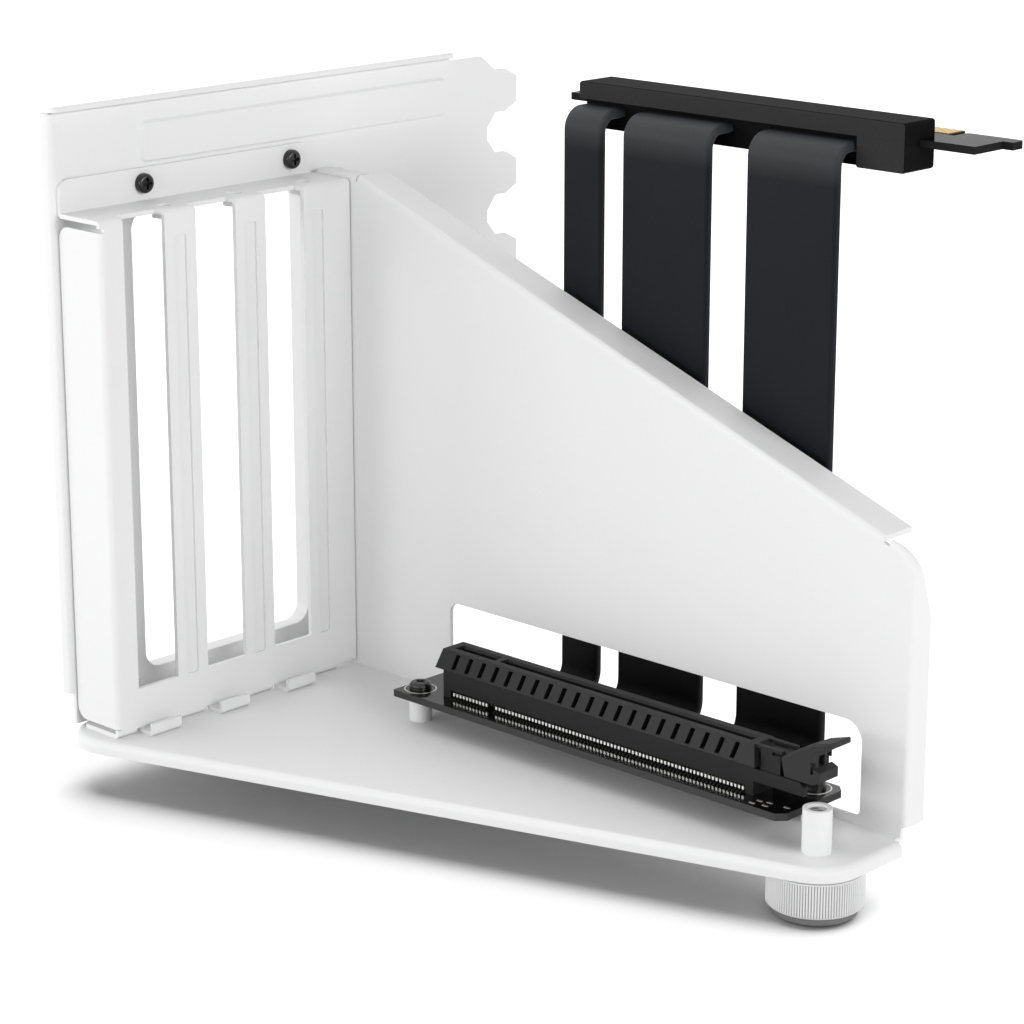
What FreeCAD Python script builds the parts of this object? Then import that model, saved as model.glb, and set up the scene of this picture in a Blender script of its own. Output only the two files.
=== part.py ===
"""Vertical graphics-card mount: folded steel bracket, riser board with card socket, ribbons and plug.

Drawing frame: X runs along the wall from the front of the slot face, Y from the wall's front face to the
back, Z up from the top of the base. The finished pieces are placed so that the origin is the middle of the
screw foot's underside.
"""
import FreeCAD
import Part
import Sketcher
import math
import os
import re

SIZES = [
    # every folded sheet
    ("sheet_t", 1.0, "sheet thickness"),
    ("bend_r", 0.2, "inside radius of a bend"),
    ("relief_w", 1.0, "width of a bend relief"),
    ("edge_gap", 0.1, "clearance of a sheet's edge over a bend"),
    # base of the main bracket
    ("base_over", 3.2, "reach of the base beyond the slot face's edge"),
    ("base_slope", 0.3165, "slope of the base's front edge"),
    ("base_corner_r", 10.5, "radius of the base's rear corner"),
    ("base_r", 10.0, "radius of the base's front corner, round the foot"),
    ("rim_h", 3.0, "height of the turned-down rim"),
    ("rim_r", 0.6, "inside radius of the rim's bend"),
    ("tab_h", 6.6, "height of the tab behind the rear plate"),
    ("tab_gap", 5.0, "distance of the tab from the wall"),
    # wall of the main bracket
    ("wall_in", 1.0, "distance of the wall's end from the base's end"),
    ("wall_over", 1.0, "height of the wall's level top over the screw shelf"),
    ("wall_knee", 1.9, "where the slanted edge begins"),
    ("wall_slope", 0.3615, "fall of the slanted edge"),
    ("wall_r", 7.0, "radius of the wall's front corner"),
    ("level_in", 2.6, "distance of the level flange from the rear plate"),
    ("level_d", 4.0, "depth of the level flange"),
    ("top_start", 0.3, "distance from the knee to the top flange"),
    ("top_end", 8.0, "distance from the top flange to the wall's end"),
    ("top_d", 9.5, "depth of the top flange"),
    ("end_d", 6.0, "depth of the end flange"),
    ("end_low", 2.2, "lower end of the end flange"),
    ("end_high", 46.0, "where the end flange begins to narrow"),
    ("end_start", 1.5, "distance from the top flange to the end flange"),
    ("end_r", 2.0, "corner radius of the flanges"),
    ("seat_w", 12.0, "width of the flange on the rear plate"),
    ("seat_low", 8.0, "lower end of the flange on the rear plate"),
    ("pass_x", 31.2, "start of the cable window"),
    ("pass_end", 14.3, "end of the cable window beyond the socket"),
    ("pass_z", 1.5, "lower edge of the cable window"),
    ("pass_h", 20.5, "height of the cable window"),
    ("pass_r", 2.5, "rear corner radius of the cable window"),
    ("pass_end_r", 4.5, "upper front corner radius of the cable window"),
    ("pass_low_r", 1.7, "lower front corner radius of the cable window"),
    # slot bracket
    ("slot_pitch", 20.32, "pitch of expansion slots"),
    ("slots", 3, "number of slot openings"),
    ("face_w", 72.7, "width of the slot face"),
    ("wall_gap", 0.3, "clearance of the slot face from the wall"),
    ("face_h", 116.1, "height of the screw shelf"),
    ("shelf_d", 13.1, "depth of the screw shelf"),
    ("flange_h", 7.2, "height of the upright flange"),
    ("flange_r", 2.5, "corner radius of the upright flange"),
    ("opening_w", 11.5, "width of a slot opening"),
    ("opening_in", 6.3, "distance of the first opening from the face's edge"),
    ("opening_z", 10.3, "lower edge of the openings"),
    ("opening_d", 3.0, "reach of the openings into the shelf"),
    ("opening_r", 0.3, "corner radius of the openings"),
    ("groove_w", 3.3, "width of a stiffening groove"),
    ("groove_gap", 2.7, "distance of a groove from its opening"),
    ("groove_z", 10.2, "lower end of the grooves"),
    ("groove_drop", 5.9, "upper end of the grooves under the screw shelf"),
    ("groove_d", 0.5, "depth of the grooves"),
    ("groove_r", 0.5, "end radius of the grooves"),
    ("shelf_hole_r", 1.75, "radius of the card screw holes"),
    ("shelf_hole_x", 5.4, "distance of the card screw holes from the front"),
    ("shelf_hole_gap", 4.6, "distance of a card screw hole from its opening"),
    ("collar_r", 2.7, "radius of the drawn collar under a card screw hole"),
    ("collar_h", 1.6, "height of the drawn collar"),
    ("side_low", 2.0, "lower end of the side wall"),
    ("side_drop", 2.6, "distance of the side wall's top from the shelf"),
    ("side_r", 3.0, "corner radius of the side wall"),
    ("side_gap", 0.3, "clearance of the side wall from the rear plate"),
    ("catch_w", 8.3, "width of a catch"),
    ("catch_in", 0.1, "distance of a catch from its opening's edge"),
    ("catch_d", 4.4, "reach of a catch"),
    ("catch_h", 2.9, "height of a catch"),
    ("sole_d", 11.3, "depth of the bottom flange"),
    # rear plate
    ("plate_over", 1.5, "width of the rear plate beyond the slot face"),
    ("bead_over", 5.6, "height of the rear plate over its bead"),
    ("lip_d", 2.0, "reach of the top lip"),
    ("lip_end", 46.5, "end of the top lip from the wall"),
    ("plain_drop", 2.0, "drop of the plain top edge"),
    ("edge_d", 2.9, "depth of the side flange"),
    ("edge_low", 7.5, "lower end of the side flange"),
    ("comb_y", 69.8, "tips of the comb from the wall"),
    ("comb_drop", 5.7, "drop of the first tooth from the rear plate's top"),
    ("shoulder_w", 4.9, "width of the shoulder above the first tooth"),
    ("notches", 6, "number of notches in the comb"),
    ("notch_h", 10.0, "height of a notch"),
    ("notch_d", 10.3, "depth of a notch"),
    ("notch_in", 2.9, "width of a notch's sloping end"),
    ("notch_slope", 3.5, "height of a notch's sloping end"),
    ("tooth_cut", 4.0, "length of a tooth's bevel"),
    ("tooth_drop", 2.0, "height of a tooth's bevel"),
    ("win_gap", 2.5, "distance of the window from the wall"),
    ("win_w", 50.2, "width of the window"),
    ("win_z", 8.2, "lower edge of the window"),
    ("win_drop", 2.6, "upper edge of the window under the screw shelf"),
    ("win_r", 4.0, "corner radius of the window"),
    ("win_lip", 4.0, "depth of the window's lip"),
    ("bead_in", 24.5, "distance of the bead from the plate's edge"),
    ("bead_l", 95.3, "length of the bead"),
    ("bead_gap", 0.7, "clearance of the bead from the upright flange"),
    ("bead_h", 9.3, "height of the bead"),
    ("bead_r", 2.0, "corner radius of the bead"),
    ("bead_d", 0.6, "height of the bead over the plate"),
    # screws and rivets
    ("fit_gap", 0.05, "radial clearance of a shank in its hole"),
    ("screw_r", 1.45, "radius of the small screws"),
    ("screw_l", 5.0, "shank length of the bracket screws"),
    ("head_r", 2.5, "head radius of the board screws"),
    ("top_head_r", 2.2, "head radius of the bracket screws"),
    ("head_h", 1.7, "head height of the small screws"),
    ("cross_w", 0.7, "width of the cross recess"),
    ("cross_l", 2.6, "length of the cross recess"),
    ("cross_d", 0.8, "depth of the cross recess"),
    ("screw_up", 3.8, "height of the bracket screws over the shelf"),
    ("screw_in", 6.1, "distance of the last bracket screw from the face's end"),
    ("screw_span", 43.6, "distance between the bracket screws"),
    ("rivet_r", 1.55, "shank radius of a rivet"),
    ("rivet_head_r", 2.6, "head radius of a rivet"),
    ("rivet_head_h", 1.1, "head height of a rivet"),
    ("rivet_tail_r", 2.2, "tail radius of a rivet"),
    ("rivet_tail_h", 0.9, "tail height of a rivet"),
    ("tab_rivet_z", 3.8, "height of the tab's rivets"),
    ("tab_rivet_in", 10.0, "distance of the tab's first rivet from its end"),
    ("tab_rivet_pitch", 17.0, "pitch of the tab's rivets"),
    ("seat_rivet_y", 7.0, "distance of the wall's rivets from the wall"),
    ("seat_rivet_z", 25.0, "height of the wall's first rivet"),
    ("seat_rivet_pitch", 35.0, "pitch of the wall's rivets"),
    ("sole_rivet_x", 7.0, "distance of the bottom flange's rivets from the front"),
    # riser board
    ("board_x", 34.8, "start of the riser board"),
    ("board_end", 11.2, "reach of the riser board beyond the socket"),
    ("board_w", 21.3, "width of the riser board"),
    ("board_gap", 0.5, "clearance of the riser board from the wall"),
    ("board_t", 1.6, "thickness of both boards"),
    ("board_cut", 1.8, "bevelled corners of the riser board"),
    ("board_r", 1.0, "corner radius of the plug's board"),
    ("stand_h", 5.6, "height of the standoffs"),
    ("stand_r", 2.6, "radius of the standoffs"),
    ("stand_pin_r", 2.1, "radius of the standoffs' clinched ends"),
    ("rear_hole_x", 3.9, "rear board screw from the board's end"),
    ("rear_hole_y", 4.6, "rear board screw from the board's front edge"),
    ("front_hole_x", 4.9, "front board screw from the board's end"),
    ("front_hole_y", 4.5, "front board screw from the board's back edge"),
    ("board_screw_l", 5.0, "shank length of the board screws"),
    # card socket
    ("sock_x", 46.0, "start of the socket"),
    ("sock_y", 14.0, "middle of the socket from the wall"),
    ("sock_w", 6.4, "width of the socket's lower wall"),
    ("sock_h", 11.2, "height of the socket over the board"),
    ("collar_z", 6.8, "lower edge of the collar over the board"),
    ("collar_out", 1.3, "flare of the collar"),
    ("sock_foot_h", 1.8, "height of the socket's feet"),
    ("sock_foot_l", 2.2, "length of the socket's feet"),
    ("card_w", 1.9, "width of the card slot"),
    ("card_in", 2.0, "distance of the card slot from the socket's ends"),
    ("card_d", 8.0, "depth of the card slot"),
    ("card_lead", 0.5, "lead-in bevel of the card slot"),
    ("key_w", 1.5, "width of the key bar"),
    ("vent_in", 3.45, "distance of the outer vents from the socket's ends"),
    ("vents", 21, "number of vents in the collar"),
    ("vent_w", 1.2, "width of a vent"),
    ("vent_lean", 0.9, "lean of a vent"),
    ("vent_z", 0.5, "distance of the vents from the collar's edges"),
    ("vent_d", 2.6, "depth of a vent below the collar's flared edge"),
    ("pin_in", 3.3, "distance of the first contact from the socket's start"),
    ("pin_end", 2.7, "distance of the last contact from the socket's end"),
    ("pin_pitch", 1.0, "pitch of the contacts"),
    ("key_pitch", 3.0, "distance of the contacts beside the key"),
    ("pins_short", 11, "contacts before the key"),
    ("pins_long", 71, "contacts after the key"),
    ("pin_w", 0.5, "width of a contact"),
    ("pin_t", 0.4, "thickness of a contact's foot"),
    ("pin_out", 0.9, "reach of a contact's foot"),
    # frame for the latch at the socket's end
    ("rail_t", 1.5, "thickness of the lower rails"),
    ("rail_l", 12.9, "reach of the lower rails beyond the socket"),
    ("rail_low", 3.2, "underside of the lower rails over the board"),
    ("rail_h", 2.8, "height of the lower rails"),
    ("rail_ease", 1.0, "bevel at the ends of the lower rails"),
    ("cheek_in", 0.4, "step from the lower rails to the guide cheeks"),
    ("cheek_x", 1.5, "start of the guide cheeks from the socket's end"),
    ("cheek_l", 5.1, "length of the guide cheeks"),
    ("cheek_cut_l", 2.2, "length of the notch in the guide cheeks"),
    ("cheek_cut_h", 0.6, "height of the notch in the guide cheeks"),
    ("top_rail_out", 0.4, "reach of the top rails beyond the guide cheeks"),
    ("top_rail_h", 0.7, "height of the top rails"),
    ("tongue_w", 1.3, "half width of the tongue that carries the latch"),
    ("tongue_r", 1.6, "half height of the tongue"),
    ("pivot_x", 6.4, "latch's pivot from the guide cheeks"),
    ("pivot_z", 7.3, "latch's pivot over the board"),
    ("pivot_r", 0.9, "radius of the tongue's stub axles"),
    ("pivot_l", 0.9, "length of a stub axle"),
    # latch
    ("latch_in", 0.15, "step from the socket's wall to the latch"),
    ("latch_gap", 0.2, "clearance of the latch from the tongue and the rails"),
    ("latch_clear", 0.3, "clearance of the latch from the cheeks and the top rails"),
    ("latch_lean", 1.0, "lean of the latch's front edge"),
    ("latch_end", 2.1, "end of the latch behind the pivot"),
    ("lobe_out", 1.65, "reach of the latch's lobe beyond its end"),
    ("lobe_low", 0.3, "lower corner of the lobe below the pivot"),
    ("lobe_high", 1.8, "upper corner of the lobe over the pivot"),
    ("lobe_root", 2.4, "root of the lobe over the pivot"),
    ("brow_x", 3.0, "corner of the latch's back before the pivot"),
    ("brow_z", 4.9, "corner of the latch's back over the pivot"),
    ("thumb_z", 7.6, "top of the thumb tab over the pivot, at the latch's end"),
    ("thumb_low_z", 5.9, "underside of the thumb tab over the pivot, at the latch's end"),
    ("thumb_l", 4.6, "reach of the thumb tab beyond the latch's end"),
    ("thumb_rise", 1.4, "rise of the thumb tab beyond the latch's end"),
    ("thumb_t", 1.3, "thickness of the thumb tab's tip"),
    ("thumb_bevel", 0.4, "bevel along the thumb tab"),
    ("nose_l", 5.2, "reach of the latch's nose beyond its front"),
    ("nose_t", 1.1, "thickness of the latch's nose"),
    ("pocket_d", 1.5, "depth of the pockets in the latch's end"),
    ("pocket_h", 2.3, "height of the pockets"),
    ("pocket_w", 1.85, "width of the wide pocket"),
    ("pocket_narrow_w", 1.0, "width of the narrow pocket"),
    ("pocket_rib", 0.95, "rib between the pockets"),
    ("slit_w", 0.7, "width of the slit at the latch's corner"),
    ("slit_h", 2.5, "height of the slit"),
    ("slit_d", 0.8, "depth of the slit"),
    # screw foot
    ("pad_r", 8.7, "radius of the rubber pad"),
    ("pad_h", 2.3, "height of the rubber pad"),
    ("pad_bevel", 0.7, "bevelled edge of the rubber pad"),
    ("knob_r", 10.1, "radius of the knurled wheel"),
    ("knob_h", 7.5, "height of the knurled wheel"),
    ("knob_bevel", 0.4, "bevelled edge of the knurled wheel"),
    ("knurls", 108, "number of knurling grooves"),
    ("knurl_d", 0.35, "depth of a knurling groove"),
    ("knurl_w", 0.4, "width of a knurling groove"),
    ("foot_gap", 3.3, "height of the base's top over the wheel"),
    ("foot_clear", 1.05, "clearance of the bushing from the lower rails"),
    ("stud_r", 2.0, "radius of the stud"),
    ("stud_in", 0.4, "distance of the stud's end from the bushing's top"),
    ("stud_head_r", 3.9, "radius of the stud's head"),
    ("stud_head_h", 2.0, "height of the stud's head"),
    ("pad_pin_h", 1.5, "height of the pad's plug"),
    ("bush_r", 3.05, "radius of the bushing"),
    ("bush_h", 9.4, "height of the bushing"),
    ("bush_pin_r", 2.7, "radius of the bushing's clinched end"),
    # ribbons
    ("rib_t", 2.2, "thickness of a ribbon"),
    ("rib_y", 12.0, "front face of the ribbons from the wall"),
    ("rib_low_r", 4.9, "inside radius of the lower bend"),
    ("rib_high_r", 2.8, "inside radius of the upper bend"),
    ("rib_under", 14.0, "reach of the ribbons under the riser board"),
    ("rib_a_x", 54.55, "start of the first ribbon"),
    ("rib_a_w", 10.9, "width of the first ribbon"),
    ("rib_b_x", 71.65, "start of the second ribbon"),
    ("rib_b_w", 23.9, "width of the second ribbon"),
    ("rib_c_x", 105.85, "start of the third ribbon"),
    ("rib_c_w", 23.5, "width of the third ribbon"),
    # plug
    ("plug_x", 54.2, "start of the plug"),
    ("plug_over", 4.7, "length of the plug beyond the row of contacts"),
    ("plug_y", 5.3, "plug's front from the ribbons' front"),
    ("plug_w", 10.7, "width of the plug"),
    ("plug_z", 131.7, "underside of the plug"),
    ("plug_low_h", 6.5, "height of the plug's housing"),
    ("plug_cover_h", 3.7, "height of the plug's cover"),
    ("plug_r", 0.7, "edge radius of the plug"),
    ("entry_z", 3.0, "ribbons over the plug's underside"),
    ("entry_d", 5.0, "reach of the ribbons into the plug"),
    ("entry_gap", 0.1, "clearance of a ribbon in its entry"),
    ("bay_d", 2.8, "depth of the bay in front of the ribbon entries"),
    ("bay_over", 0.8, "length of the bay beyond the last ribbon"),
    ("card_front", 5.2, "board's front edge from the plug's front"),
    ("card_out", 10.0, "reach of the board's contact edge from the plug"),
    ("card_left", 6.8, "reach of the board's end from the plug"),
    ("card_back", 3.2, "reach of the board's ends behind the plug"),
    ("finger_in", 3.2, "start of the contact edge from the plug's end"),
    ("finger_w", 0.7, "width of a contact finger"),
    ("finger_l", 5.2, "length of a contact finger"),
    ("finger_t", 0.1, "thickness of a contact finger"),
    ("finger_gap", 0.6, "distance of the fingers from the edge"),
    ("finger_first", 1.0, "distance of the first finger from the edge's end"),
    ("notch_w", 1.9, "width of the key notch"),
    ("hook_gap", 1.6, "width of the gap before the hook"),
    ("hook_l", 11.3, "length of the hook"),
    ("hook_tab", 2.5, "length of the hook's tab"),
    ("hook_tab_w", 4.0, "width of the hook's tab"),
    ("hook_back", 2.0, "distance of the hook's tab from the contact edge"),
]

# Lengths that follow from the sizes above
FOLLOWING = [
    ("pin_row", "=(pins_short + pins_long - 2) * pin_pitch + key_pitch", "first to last contact"),
    ("sock_l", "=pin_in + pin_row + pin_end", "length of the socket"),
    ("vent_pitch", "=(sock_l - 2 * vent_in - vent_w - vent_lean) / (vents - 1)", "pitch of the vents"),
    ("board_l", "=sock_x + sock_l + board_end - board_x", "length of the riser board"),
    ("pass_w", "=sock_x + sock_l + pass_end - pass_x", "width of the cable window"),
    ("base_l", "=sock_x + sock_l + rail_l + foot_clear + bush_r + base_r", "base ahead of the slot face"),
    ("latch_low", "=pivot_z - rail_low - rail_h - latch_gap", "underside of the latch below the pivot"),
    ("latch_front", "=pivot_x - latch_clear", "front of the latch before the pivot"),
    ("latch_brow", "=sock_h - top_rail_h - latch_clear - pivot_z", "latch's front corner over the pivot"),
    ("base_front", "=face_w + wall_gap + base_over", "depth of the base at the slot face"),
    ("wall_l", "=base_l - wall_in", "length of the wall ahead of the slot face"),
    ("wall_h", "=face_h + wall_over", "height of the wall's level top"),
    ("groove_h", "=face_h - groove_drop - groove_z", "length of the grooves"),
    ("win_h", "=face_h - win_drop - win_z", "height of the window"),
    ("bead_z", "=face_h + flange_h + bead_gap", "lower edge of the bead"),
    ("plate_h", "=bead_z + bead_h + bead_over", "height over the rear plate's lip"),
    ("comb_top", "=plate_h - comb_drop", "top of the first tooth"),
    ("plug_l", "=pin_row + plug_over", "length of the plug"),
    ("finger_edge", "=pin_row + 2 * finger_first", "length of the contact edge"),
]

doc = FreeCAD.newDocument("vertical_gpu_mount")
dims = doc.addObject("Spreadsheet::Sheet", "Dims")
for row, (name, size, note) in enumerate(SIZES + FOLLOWING, start=1):
    dims.set(f"A{row}", note)
    dims.set(f"B{row}", str(size))
    dims.setAlias(f"B{row}", name)
doc.recompute()
NAMES = {name for name, size, note in SIZES + FOLLOWING}


def bound(text):
    """An expression in the sizes' names, written for the document."""
    return re.sub(r"[a-z_]\w*", lambda word: "Dims." + word[0] if word[0] in NAMES else word[0], str(text))


def number(text):
    """The present value of an expression."""
    return float(dims.evalExpression(bound(text)))


def minus(text):
    """The expression with its sign turned."""
    return f"-({text})"


# Places that several pieces share, as expressions in the drawing frame
BEND_OUT = "(sheet_t + bend_r)"
PLATE_X = "(-shelf_d - sheet_t)"
PLATE_BACK = "(-shelf_d - 2 * sheet_t)"
TAIL_X = "(-shelf_d - 3 * sheet_t)"
PLATE_Z = "(bend_r + edge_gap)"
FACE_LEFT = "(-face_w - wall_gap)"
FACE_RIGHT = "(-wall_gap)"
OPENING_Y = "(-face_w - wall_gap + opening_in)"
SCREW_Y = "(-wall_gap - screw_in)"
SCREW_Z = "(face_h + screw_up)"
SCREW_HOLE = "(screw_r + fit_gap)"
RIVET_HOLE = "(rivet_r + fit_gap)"
SEC_BASE = "sqrt(1 + base_slope * base_slope)"
SEC_WALL = "sqrt(1 + wall_slope * wall_slope)"
FOOT_X = "(base_l - base_r)"
FOOT_Y = f"(base_slope * (base_l - base_r) - base_front + base_r * {SEC_BASE})"
FOOT_Z = "(pad_h + knob_h + foot_gap)"
BOARD_TOP = "(stand_h + board_t)"
BOARD_FRONT = "(-board_gap - board_w)"
REAR_HOLE = ("(board_x + rear_hole_x)", "(rear_hole_y - board_gap - board_w)")
FRONT_HOLE = ("(board_x + board_l - front_hole_x)", "(-board_gap - front_hole_y)")
SOCK_END = "(sock_x + sock_l)"
SOCK_FRONT = "(-sock_y - sock_w / 2)"
PIVOT_X = "(sock_x + sock_l + cheek_x + cheek_l + pivot_x)"
PIVOT_Z = f"({BOARD_TOP} + pivot_z)"
PLUG_Y = "(rib_y + plug_y)"
SPLIT_Z = "(plug_z + plug_low_h)"
RIB_Z = "(plug_z + entry_z)"


def front_edge(x, inset="0"):
    """Y of the base's slanting front edge, or of a line inside it."""
    return f"(base_slope * ({x}) - base_front + ({inset}) * {SEC_BASE})"


def top_edge(x, inset="0"):
    """Z of the wall's slanted edge, or of a line under it."""
    return f"(wall_h - wall_slope * (({x}) - wall_knee) - ({inset}) * {SEC_WALL})"


def new_body(label, base=("0", "0", "0"), turn=None):
    """A body drawn from the given point of the drawing frame; turn lays its Z axis along X."""
    body = doc.addObject("PartDesign::Body", label)
    body.Label = label
    if turn:
        body.Placement.Rotation = FreeCAD.Rotation(FreeCAD.Vector(0, 1, 0), turn)
    for axis, place, foot in zip("xyz", base, (FOOT_X, FOOT_Y, minus(FOOT_Z))):
        body.setExpression(f"Placement.Base.{axis}", bound(f"{place} - {foot}"))
    return body


def origin_part(body, role):
    return next(item for item in body.Origin.OriginFeatures if item.Role == role)


def new_sketch(body, name, axis, place):
    """A sketch on the plane across one axis, at a place along it."""
    sketch = body.newObject("Sketcher::SketchObject", name)
    plane = {"X": "YZ_Plane", "Y": "XZ_Plane", "Z": "XY_Plane"}[axis]
    sketch.AttachmentSupport = [(origin_part(body, plane), "")]
    sketch.MapMode = "FlatFace"
    sketch.setExpression("AttachmentOffset.Base.z", bound(minus(place) if axis == "Y" else place))
    return sketch


def fix(sketch, kind, geometry, expression):
    """A dimension of the sketch, bound to an expression."""
    index = sketch.addConstraint(Sketcher.Constraint(kind, *geometry, number(expression)))
    sketch.setExpression(f"Constraints[{index}]", bound(expression))


def fix_point(sketch, geometry, point, u, v):
    fix(sketch, "DistanceX", (-1, 1, geometry, point), u)
    fix(sketch, "DistanceY", (-1, 1, geometry, point), v)


def draw_circle(sketch, u, v, radius):
    centre = FreeCAD.Vector(number(u), number(v), 0)
    circle = sketch.addGeometry(Part.Circle(centre, FreeCAD.Vector(0, 0, 1), number(radius)), False)
    fix_point(sketch, circle, 3, u, v)
    fix(sketch, "Radius", (circle,), radius)


def draw_outline(sketch, corners):
    """A closed outline; a corner with a third value is rounded by that radius."""
    places = [FreeCAD.Vector(number(c[0]), number(c[1]), 0) for c in corners]
    radii = [number(c[2]) if len(c) > 2 else 0.0 for c in corners]
    count = len(corners)
    starts, ends, centres = [], [], []
    for i, place in enumerate(places):
        back = (places[i - 1] - place).normalize()
        ahead = (places[(i + 1) % count] - place).normalize()
        half = back.getAngle(ahead) / 2
        ends.append(place + back * (radii[i] / math.tan(half)))
        starts.append(place + ahead * (radii[i] / math.tan(half)))
        out = (back + ahead).normalize() * (radii[i] / math.sin(half)) if radii[i] else FreeCAD.Vector()
        centres.append(place + out)
    lines = [sketch.addGeometry(Part.LineSegment(starts[i], ends[(i + 1) % count]), False)
             for i in range(count)]
    for i, corner in enumerate(corners):
        before, after = lines[i - 1], lines[i]
        if not radii[i]:
            sketch.addConstraint(Sketcher.Constraint("Coincident", before, 2, after, 1))
            fix_point(sketch, after, 1, corner[0], corner[1])
            continue
        circle = Part.Circle(centres[i], FreeCAD.Vector(0, 0, 1), radii[i])
        from_centre, to_centre = ends[i] - centres[i], starts[i] - centres[i]
        angles = [math.atan2(from_centre.y, from_centre.x), math.atan2(to_centre.y, to_centre.x)]
        leftward = from_centre.cross(to_centre).z > 0
        arc = sketch.addGeometry(Part.ArcOfCircle(circle, *(angles if leftward else angles[::-1])), False)
        first, last = (1, 2) if leftward else (2, 1)
        sketch.addConstraint(Sketcher.Constraint("Tangent", before, 2, arc, first))
        sketch.addConstraint(Sketcher.Constraint("Tangent", arc, last, after, 1))
        fix(sketch, "Radius", (arc,), corner[2])
        vertex = sketch.addGeometry(Part.Point(places[i]), True)
        sketch.addConstraint(Sketcher.Constraint("PointOnObject", vertex, 1, before))
        sketch.addConstraint(Sketcher.Constraint("PointOnObject", vertex, 1, after))
        fix_point(sketch, vertex, 1, corner[0], corner[1])


def box(u0, v0, u1, v1, *radii):
    """Corners of an upright rectangle, with one radius for all corners or one each."""
    corners = [(u0, v0), (u1, v0), (u1, v1), (u0, v1)]
    radii = radii * 4 if len(radii) == 1 else radii
    return [corner + ((radius,) if radius else ()) for corner, radius in zip(corners, radii or [None] * 4)]


def extrude(body, name, axis, low, high, outlines=(), circles=(), cut=False, taper=None):
    """Pads or pockets outlines and circles along one axis, between two places on it."""
    along_minus = (axis == "Y") != cut
    sketch = new_sketch(body, name + "_sketch", axis, high if along_minus else low)
    for outline in outlines:
        draw_outline(sketch, outline)
    for circle in circles:
        draw_circle(sketch, *circle)
    feature = body.newObject("PartDesign::Pocket" if cut else "PartDesign::Pad", name)
    feature.Profile = sketch
    feature.setExpression("Length", bound(f"({high}) - ({low})"))
    if taper:
        feature.setExpression("TaperAngle", bound(taper))
    doc.recompute()
    return feature


def revolve(body, name, outline):
    """Turns an outline of radius and height about the body's Z axis."""
    sketch = new_sketch(body, name + "_sketch", "Y", "0")
    draw_outline(sketch, outline)
    feature = body.newObject("PartDesign::Revolution", name)
    feature.Profile = sketch
    feature.ReferenceAxis = (origin_part(body, "Z_Axis"), [""])
    feature.Angle = 360
    doc.recompute()
    return feature


def repeat(body, name, features, axis, pitch, count, reverse=False):
    """Repeats features along one axis."""
    pattern = body.newObject("PartDesign::LinearPattern", name)
    pattern.Originals = features
    pattern.Direction = (origin_part(body, axis + "_Axis"), [""])
    pattern.Mode = "Spacing"
    pattern.Reversed = reverse
    pattern.setExpression("Offset", bound(pitch))
    pattern.setExpression("Occurrences", bound(count))
    body.Tip = pattern
    doc.recompute()
    return pattern


def round_edges(body, name, radius, points, kind="Fillet"):
    """Rounds or bevels the edges that pass through the given points."""
    base = body.Tip
    marks = [Part.Vertex(*[number(value) for value in point]) for point in points]
    edges = []
    for mark in marks:
        found = [i for i, edge in enumerate(base.Shape.Edges, 1) if edge.distToShape(mark)[0] < 1e-3]
        if len(found) != 1:
            raise ValueError(f"{name}: {len(found)} edges at {mark.Point}")
        edges.append(f"Edge{found[0]}")
    feature = body.newObject("PartDesign::" + kind, name)
    feature.Base = (base, edges)
    feature.setExpression("Radius" if kind == "Fillet" else "Size", bound(radius))
    doc.recompute()
    return feature


# Main bracket: one sheet, folded up along the wall and down along the base's rim
main_bracket = new_body("main_bracket")
CORNER_Y = f"(base_slope * ({TAIL_X} + base_corner_r) - base_front + base_corner_r * {SEC_BASE})"
RIM_END = f"({CORNER_Y} + relief_w)"
TAB_START = f"({RIM_END} + relief_w)"
TAB_STEP = f"({TAIL_X} + {BEND_OUT} + relief_w)"
WALL_END = f"(wall_l - {BEND_OUT})"
SEAT_STEP = f"({PLATE_X} + {BEND_OUT})"
extrude(main_bracket, "base", "Z", "-rim_h", "0", [[
    (TAIL_X, front_edge(TAIL_X), "base_corner_r"),
    ("base_l", front_edge("base_l"), "base_r"),
    ("base_l", "-end_low"),
    (WALL_END, "-end_low"),
    (WALL_END, "sheet_t"),
    (TAB_STEP, "sheet_t"),
    (TAB_STEP, "-tab_gap"),
    (TAIL_X, "-tab_gap"),
    (TAIL_X, TAB_START),
    (TAB_STEP, TAB_START),
    (TAB_STEP, RIM_END),
    (TAIL_X, RIM_END),
]])
MID_X = "(base_l / 2)"
round_edges(main_bracket, "rim_bend", "sheet_t + rim_r", [(MID_X, front_edge(MID_X), "0")])
RIM_X = f"({TAIL_X} + sheet_t)"
RIM_L = "(base_l - sheet_t)"
OUTSIDE = f"({TAIL_X} - relief_w)"
extrude(main_bracket, "rim_hollow", "Z", "-rim_h", "-sheet_t", [[
    (RIM_X, front_edge(RIM_X, "sheet_t"), "base_corner_r - sheet_t"),
    (RIM_L, front_edge(RIM_L, "sheet_t"), "base_r - sheet_t"),
    (RIM_L, "sheet_t + relief_w"),
    (OUTSIDE, "sheet_t + relief_w"),
    (OUTSIDE, RIM_END),
    (RIM_X, RIM_END),
]], cut=True)
round_edges(main_bracket, "rim_bend_inside", "rim_r",
            [(MID_X, front_edge(MID_X, "sheet_t"), "-sheet_t")])
TOP_START = "(wall_knee + top_start)"
TOP_END = "(wall_l - top_end)"
END_START = f"({TOP_END} + end_start)"
END_IN = "(wall_l - sheet_t)"
LEVEL_START = f"({PLATE_X} + level_in)"
RELIEF_D = f"({BEND_OUT} + edge_gap)"
LEVEL_LOW = f"(wall_h - {RELIEF_D})"
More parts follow.
